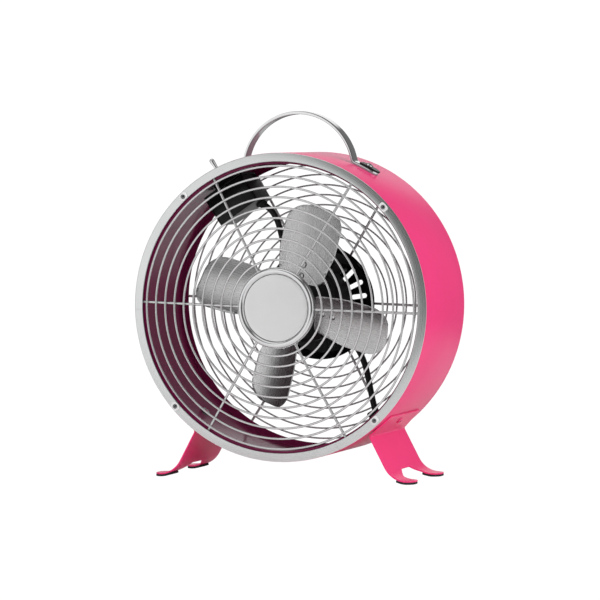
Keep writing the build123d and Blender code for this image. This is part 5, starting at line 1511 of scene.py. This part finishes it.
def make_feet():
    middle = FOOT_SHEET / 2
    path, fold_s, _ = foot_path(middle)
    total = lengths(path)
    end = total[-1]
    screw_s = TAB_ABOVE + FOOT_SCREW_ALONG
    outline = rounded([
        (0, -TAB_HALF, 2.0), (fold_s, -LEG_HALF, 8), (end, -LEG_HALF, 8.0), *toe_rims(path, total),
        (end, LEG_HALF, 8.0), (fold_s, LEG_HALF, 8), (0, TAB_HALF, 2.0)], 3, 6)
    foot = bent_sheet("foot", path, outline, [circle(SCREW_HOLE_R, 20, screw_s)], 2.1, FOOT_SHEET, 0.0, 0.3)
    half_turn = Matrix.Rotation(math.pi, 4, "Z")
    centre = Matrix.Translation((0, 2 * SHIFT_Y * MM, 0))
    other_side = centre @ half_turn
    finished("right_foot_bent", foot.copy(), 35, PINK, "right_foot")
    finished("left_foot_bent", moved(foot, other_side), 35, PINK, "left_foot")
    pad_path, _, pad_x = foot_path(FOOT_SHEET + PAD_SHEET / 2)
    pad_total = lengths(pad_path)
    pad_end = pad_total[-1]
    start = length_at_x(pad_path, pad_total, pad_x)
    pads = []
    for side in (1, -1):
        rim = [(start, PAD_OUTER_Y, 1.5), (pad_end - 0.1, PAD_OUTER_Y, 8.0),
               (pad_end - 0.1, PAD_INNER_Y, 8.0), (start, TOE_INNER_Y + 0.3, 1.5)]
        rim = rounded([(s, side * y, r) for s, y, r in rim], 1, 6)
        pads.append(bent_sheet("pad", pad_path, rim if side > 0 else rim[::-1], [], 1.8, PAD_SHEET, 0.0, 0.4))
    both = joined("pads", pads)
    finished("right_pads_rubber", both.copy(), 35, RUBBER, "right_foot_pads")
    finished("left_pads_rubber", moved(both, other_side), 35, RUBBER, "left_foot_pads")
    screw = domed_screw(*FOOT_SCREW, PINK_SCREW)
    seat = (on_drum(TAB_TANGENT, DRUM_R + FOOT_SHEET)
            @ Matrix.Translation((0, -FOOT_SCREW_ALONG * MM, 0)))
    finished("foot_screws_painted", moved(screw, seat, other_side @ seat), 30, [PINK_SCREW, RECESS_SHADE_AND_DIRT],
             "foot_screws")


# ---- frame pieces that keep their shape ----
def coat_the_rest():
    """Gives the frame's own pieces, mostly inside the motor, their finishes."""
    finishes = {
        "black_plastic": BLACK_PLASTIC, "motor_black": MOTOR_BLACK, "lamination": LAMINATION,
        "copper": COPPER, "bronze": BRONZE, "shaft_steel": SHAFT_STEEL, "screw_steel": SCREW_STEEL,
        "chrome": CHROME,
        "spider_aluminium": SPIDER_METAL, "rivet_aluminium": RIVET_METAL, "pink_enamel": PINK,
        "black_rubber": RUBBER, "lead_sheath": SHEATH, "satin_disc": SATIN_DISC, "satin_trim": SATIN_TRIM,
        "chrome_wire": FRONT_WIRE, "rear_wire": REAR_WIRE, "pink_screw": PINK_SCREW,
        "blade_aluminium": SPIDER_METAL,
    }
    for part in frame["record"]["subparts"]:
        node = frame["nodes"][part["node"]]
        if node.hide_render:
            continue
        for slot in node.material_slots:
            slot.material = finishes[part["material_slot"]]


# ---- floor, light and camera ----
def panel_group():
    """A soft-edged bright panel of the studio, by its direction and its reach."""
    tree, given, made = new_group(
        "studio_panel",
        [("Way", PLACE, None), ("Centre", PLACE, None), ("Inner", NUMBER, 0.9), ("Outer", NUMBER, 0.7),
         ("Level", NUMBER, 1.0), ("Before", NUMBER, 0.0)],
        [("Level", NUMBER)])
    near = put(tree, "ShaderNodeVectorMath", {0: given["Way"], 1: given["Centre"]}, operation="DOT_PRODUCT")
    spread = put(tree, "ShaderNodeMapRange", {
        "Value": near.outputs["Value"], "From Min": given["Outer"], "From Max": given["Inner"],
        "To Min": 0.0, "To Max": given["Level"]}, interpolation_type="SMOOTHSTEP")
    tree.links.new(reckon(tree, "MAXIMUM", spread.outputs["Result"], given["Before"]), made["Level"])
    return tree


def direction(azimuth, height_angle):
    a, e = math.radians(azimuth), math.radians(height_angle)
    return math.sin(a) * math.cos(e), -math.cos(a) * math.cos(e), math.sin(e)


def studio_level(tree, way):
    """How bright the studio is in a direction."""
    level = STUDIO_DARK
    for azimuth, height_angle, inner, outer, bright in STUDIO_PANELS:
        level = placed(tree, PANEL, {
            "Way": way, "Centre": direction(azimuth, height_angle), "Inner": math.cos(math.radians(inner)),
            "Outer": math.cos(math.radians(outer)), "Level": bright, "Before": level})["Level"]
    return level


PANEL = panel_group()


def make_floor():
    """A wide pale floor that reads as plain white and still throws soft light back up."""
    size = 8.0
    mesh = bpy.data.meshes.new("floor")
    corners = [(-size, -size, 0), (size, -size, 0), (size, size, 0), (-size, size, 0)]
    mesh.from_pydata(corners, [], [(0, 1, 2, 3)])
    material, tree, shader, place = new_finish(
        "pale_floor", Base_Color=(0.92, 0.92, 0.92, 1), Roughness=0.6, Specular_IOR_Level=0.2)
    reach = put(tree, "ShaderNodeVectorMath", {0: place}, operation="LENGTH").outputs["Value"]
    far = put(tree, "ShaderNodeMapRange", {"Value": reach, "From Min": 0.55, "From Max": 1.1})
    way = put(tree, "ShaderNodeVectorMath", {0: place}, operation="NORMALIZE").outputs[0]
    studio = put(tree, "ShaderNodeEmission", {"Color": (1, 1, 1, 1), "Strength": studio_level(tree, way)})
    rays = put(tree, "ShaderNodeLightPath").outputs
    mirrored = reckon(tree, "MULTIPLY", far.outputs["Result"], rays["Is Glossy Ray"])
    edge = put(tree, "ShaderNodeMixShader", {0: mirrored, 1: shader.outputs[0], 2: studio.outputs[0]})
    white = put(tree, "ShaderNodeEmission", {"Color": (1, 1, 1, 1), "Strength": STUDIO_WHITE})
    blend = put(tree, "ShaderNodeMixShader", {
        0: rays["Is Camera Ray"], 1: edge.outputs[0], 2: white.outputs[0]})
    tree.links.new(blend.outputs[0], tree.nodes["Material Output"].inputs["Surface"])
    mesh.materials.append(material)
    floor = new_object("floor", mesh)
    floor.location.z = -0.0001


def make_surroundings():
    """White behind the fan, even light on it, and panels of the studio for bright metal to mirror."""
    world = bpy.data.worlds.new("studio")
    bpy.context.scene.world = world
    world.use_nodes = True
    tree = world.node_tree
    tree.nodes.clear()
    way = put(tree, "ShaderNodeTexCoord").outputs["Generated"]
    level = studio_level(tree, way)
    rays = put(tree, "ShaderNodeLightPath").outputs
    mirrored = put(tree, "ShaderNodeBackground", {"Color": (1, 1, 1, 1), "Strength": level})
    lean = put(tree, "ShaderNodeVectorMath", {0: way, 1: STUDIO_LEAN}, operation="DOT_PRODUCT")
    even = put(tree, "ShaderNodeBackground", {
        "Color": (1, 1, 1, 1), "Strength": reckon(tree, "ADD", lean.outputs["Value"], STUDIO_EVEN)})
    behind = put(tree, "ShaderNodeBackground", {"Color": (1, 1, 1, 1), "Strength": STUDIO_WHITE})
    lit = put(tree, "ShaderNodeMixShader", {
        0: rays["Is Diffuse Ray"], 1: mirrored.outputs[0], 2: even.outputs[0]})
    mixed = put(tree, "ShaderNodeMixShader", {
        0: rays["Is Camera Ray"], 1: lit.outputs[0], 2: behind.outputs[0]})
    tree.links.new(mixed.outputs[0], put(tree, "ShaderNodeOutputWorld").inputs["Surface"])


def softbox(name, azimuth, height_angle, power):
    """A soft panel of light that faces the fan."""
    data = bpy.data.lights.new(name, "AREA")
    data.shape = "RECTANGLE"
    data.size, data.size_y = LAMP_SIZE
    data.energy = power
    lamp = new_object(name, data)
    way = Vector(direction(azimuth, height_angle))
    lamp.location = at(0, 0, AXIS_Z) + way * LAMP_DISTANCE
    lamp.visible_glossy = False
    lamp.rotation_mode = "QUATERNION"
    lamp.rotation_quaternion = way.to_track_quat("Z", "Y")


def make_camera():
    back = Vector(direction(CAMERA_AZIMUTH, CAMERA_HEIGHT_ANGLE))
    turn = back.to_track_quat("Z", "Y")
    right, up = turn @ Vector((1, 0, 0)), turn @ Vector((0, 1, 0))
    data = bpy.data.cameras.new("camera")
    data.lens = CAMERA_LENS
    camera = new_object("camera", data)
    camera.rotation_mode = "QUATERNION"
    camera.rotation_quaternion = turn
    aim = at(0, AIM_Y, AXIS_Z) + (right * AIM_RIGHT + up * AIM_UP) * MM
    camera.location = aim + back * CAMERA_DISTANCE
    bpy.context.scene.camera = camera


make_camera()
make_leads()
make_drum()
make_trim()
make_guards()
make_hub()
make_clips()
make_cup()
make_blades()
make_rivets()
make_spider()
make_rotor_centre()
make_switch()
make_lever()
make_glands()
make_handle()
make_feet()
coat_the_rest()
make_floor()
make_surroundings()
for lamp in LAMPS:
    softbox(*lamp)
bpy.context.scene.view_settings.view_transform = "Standard"
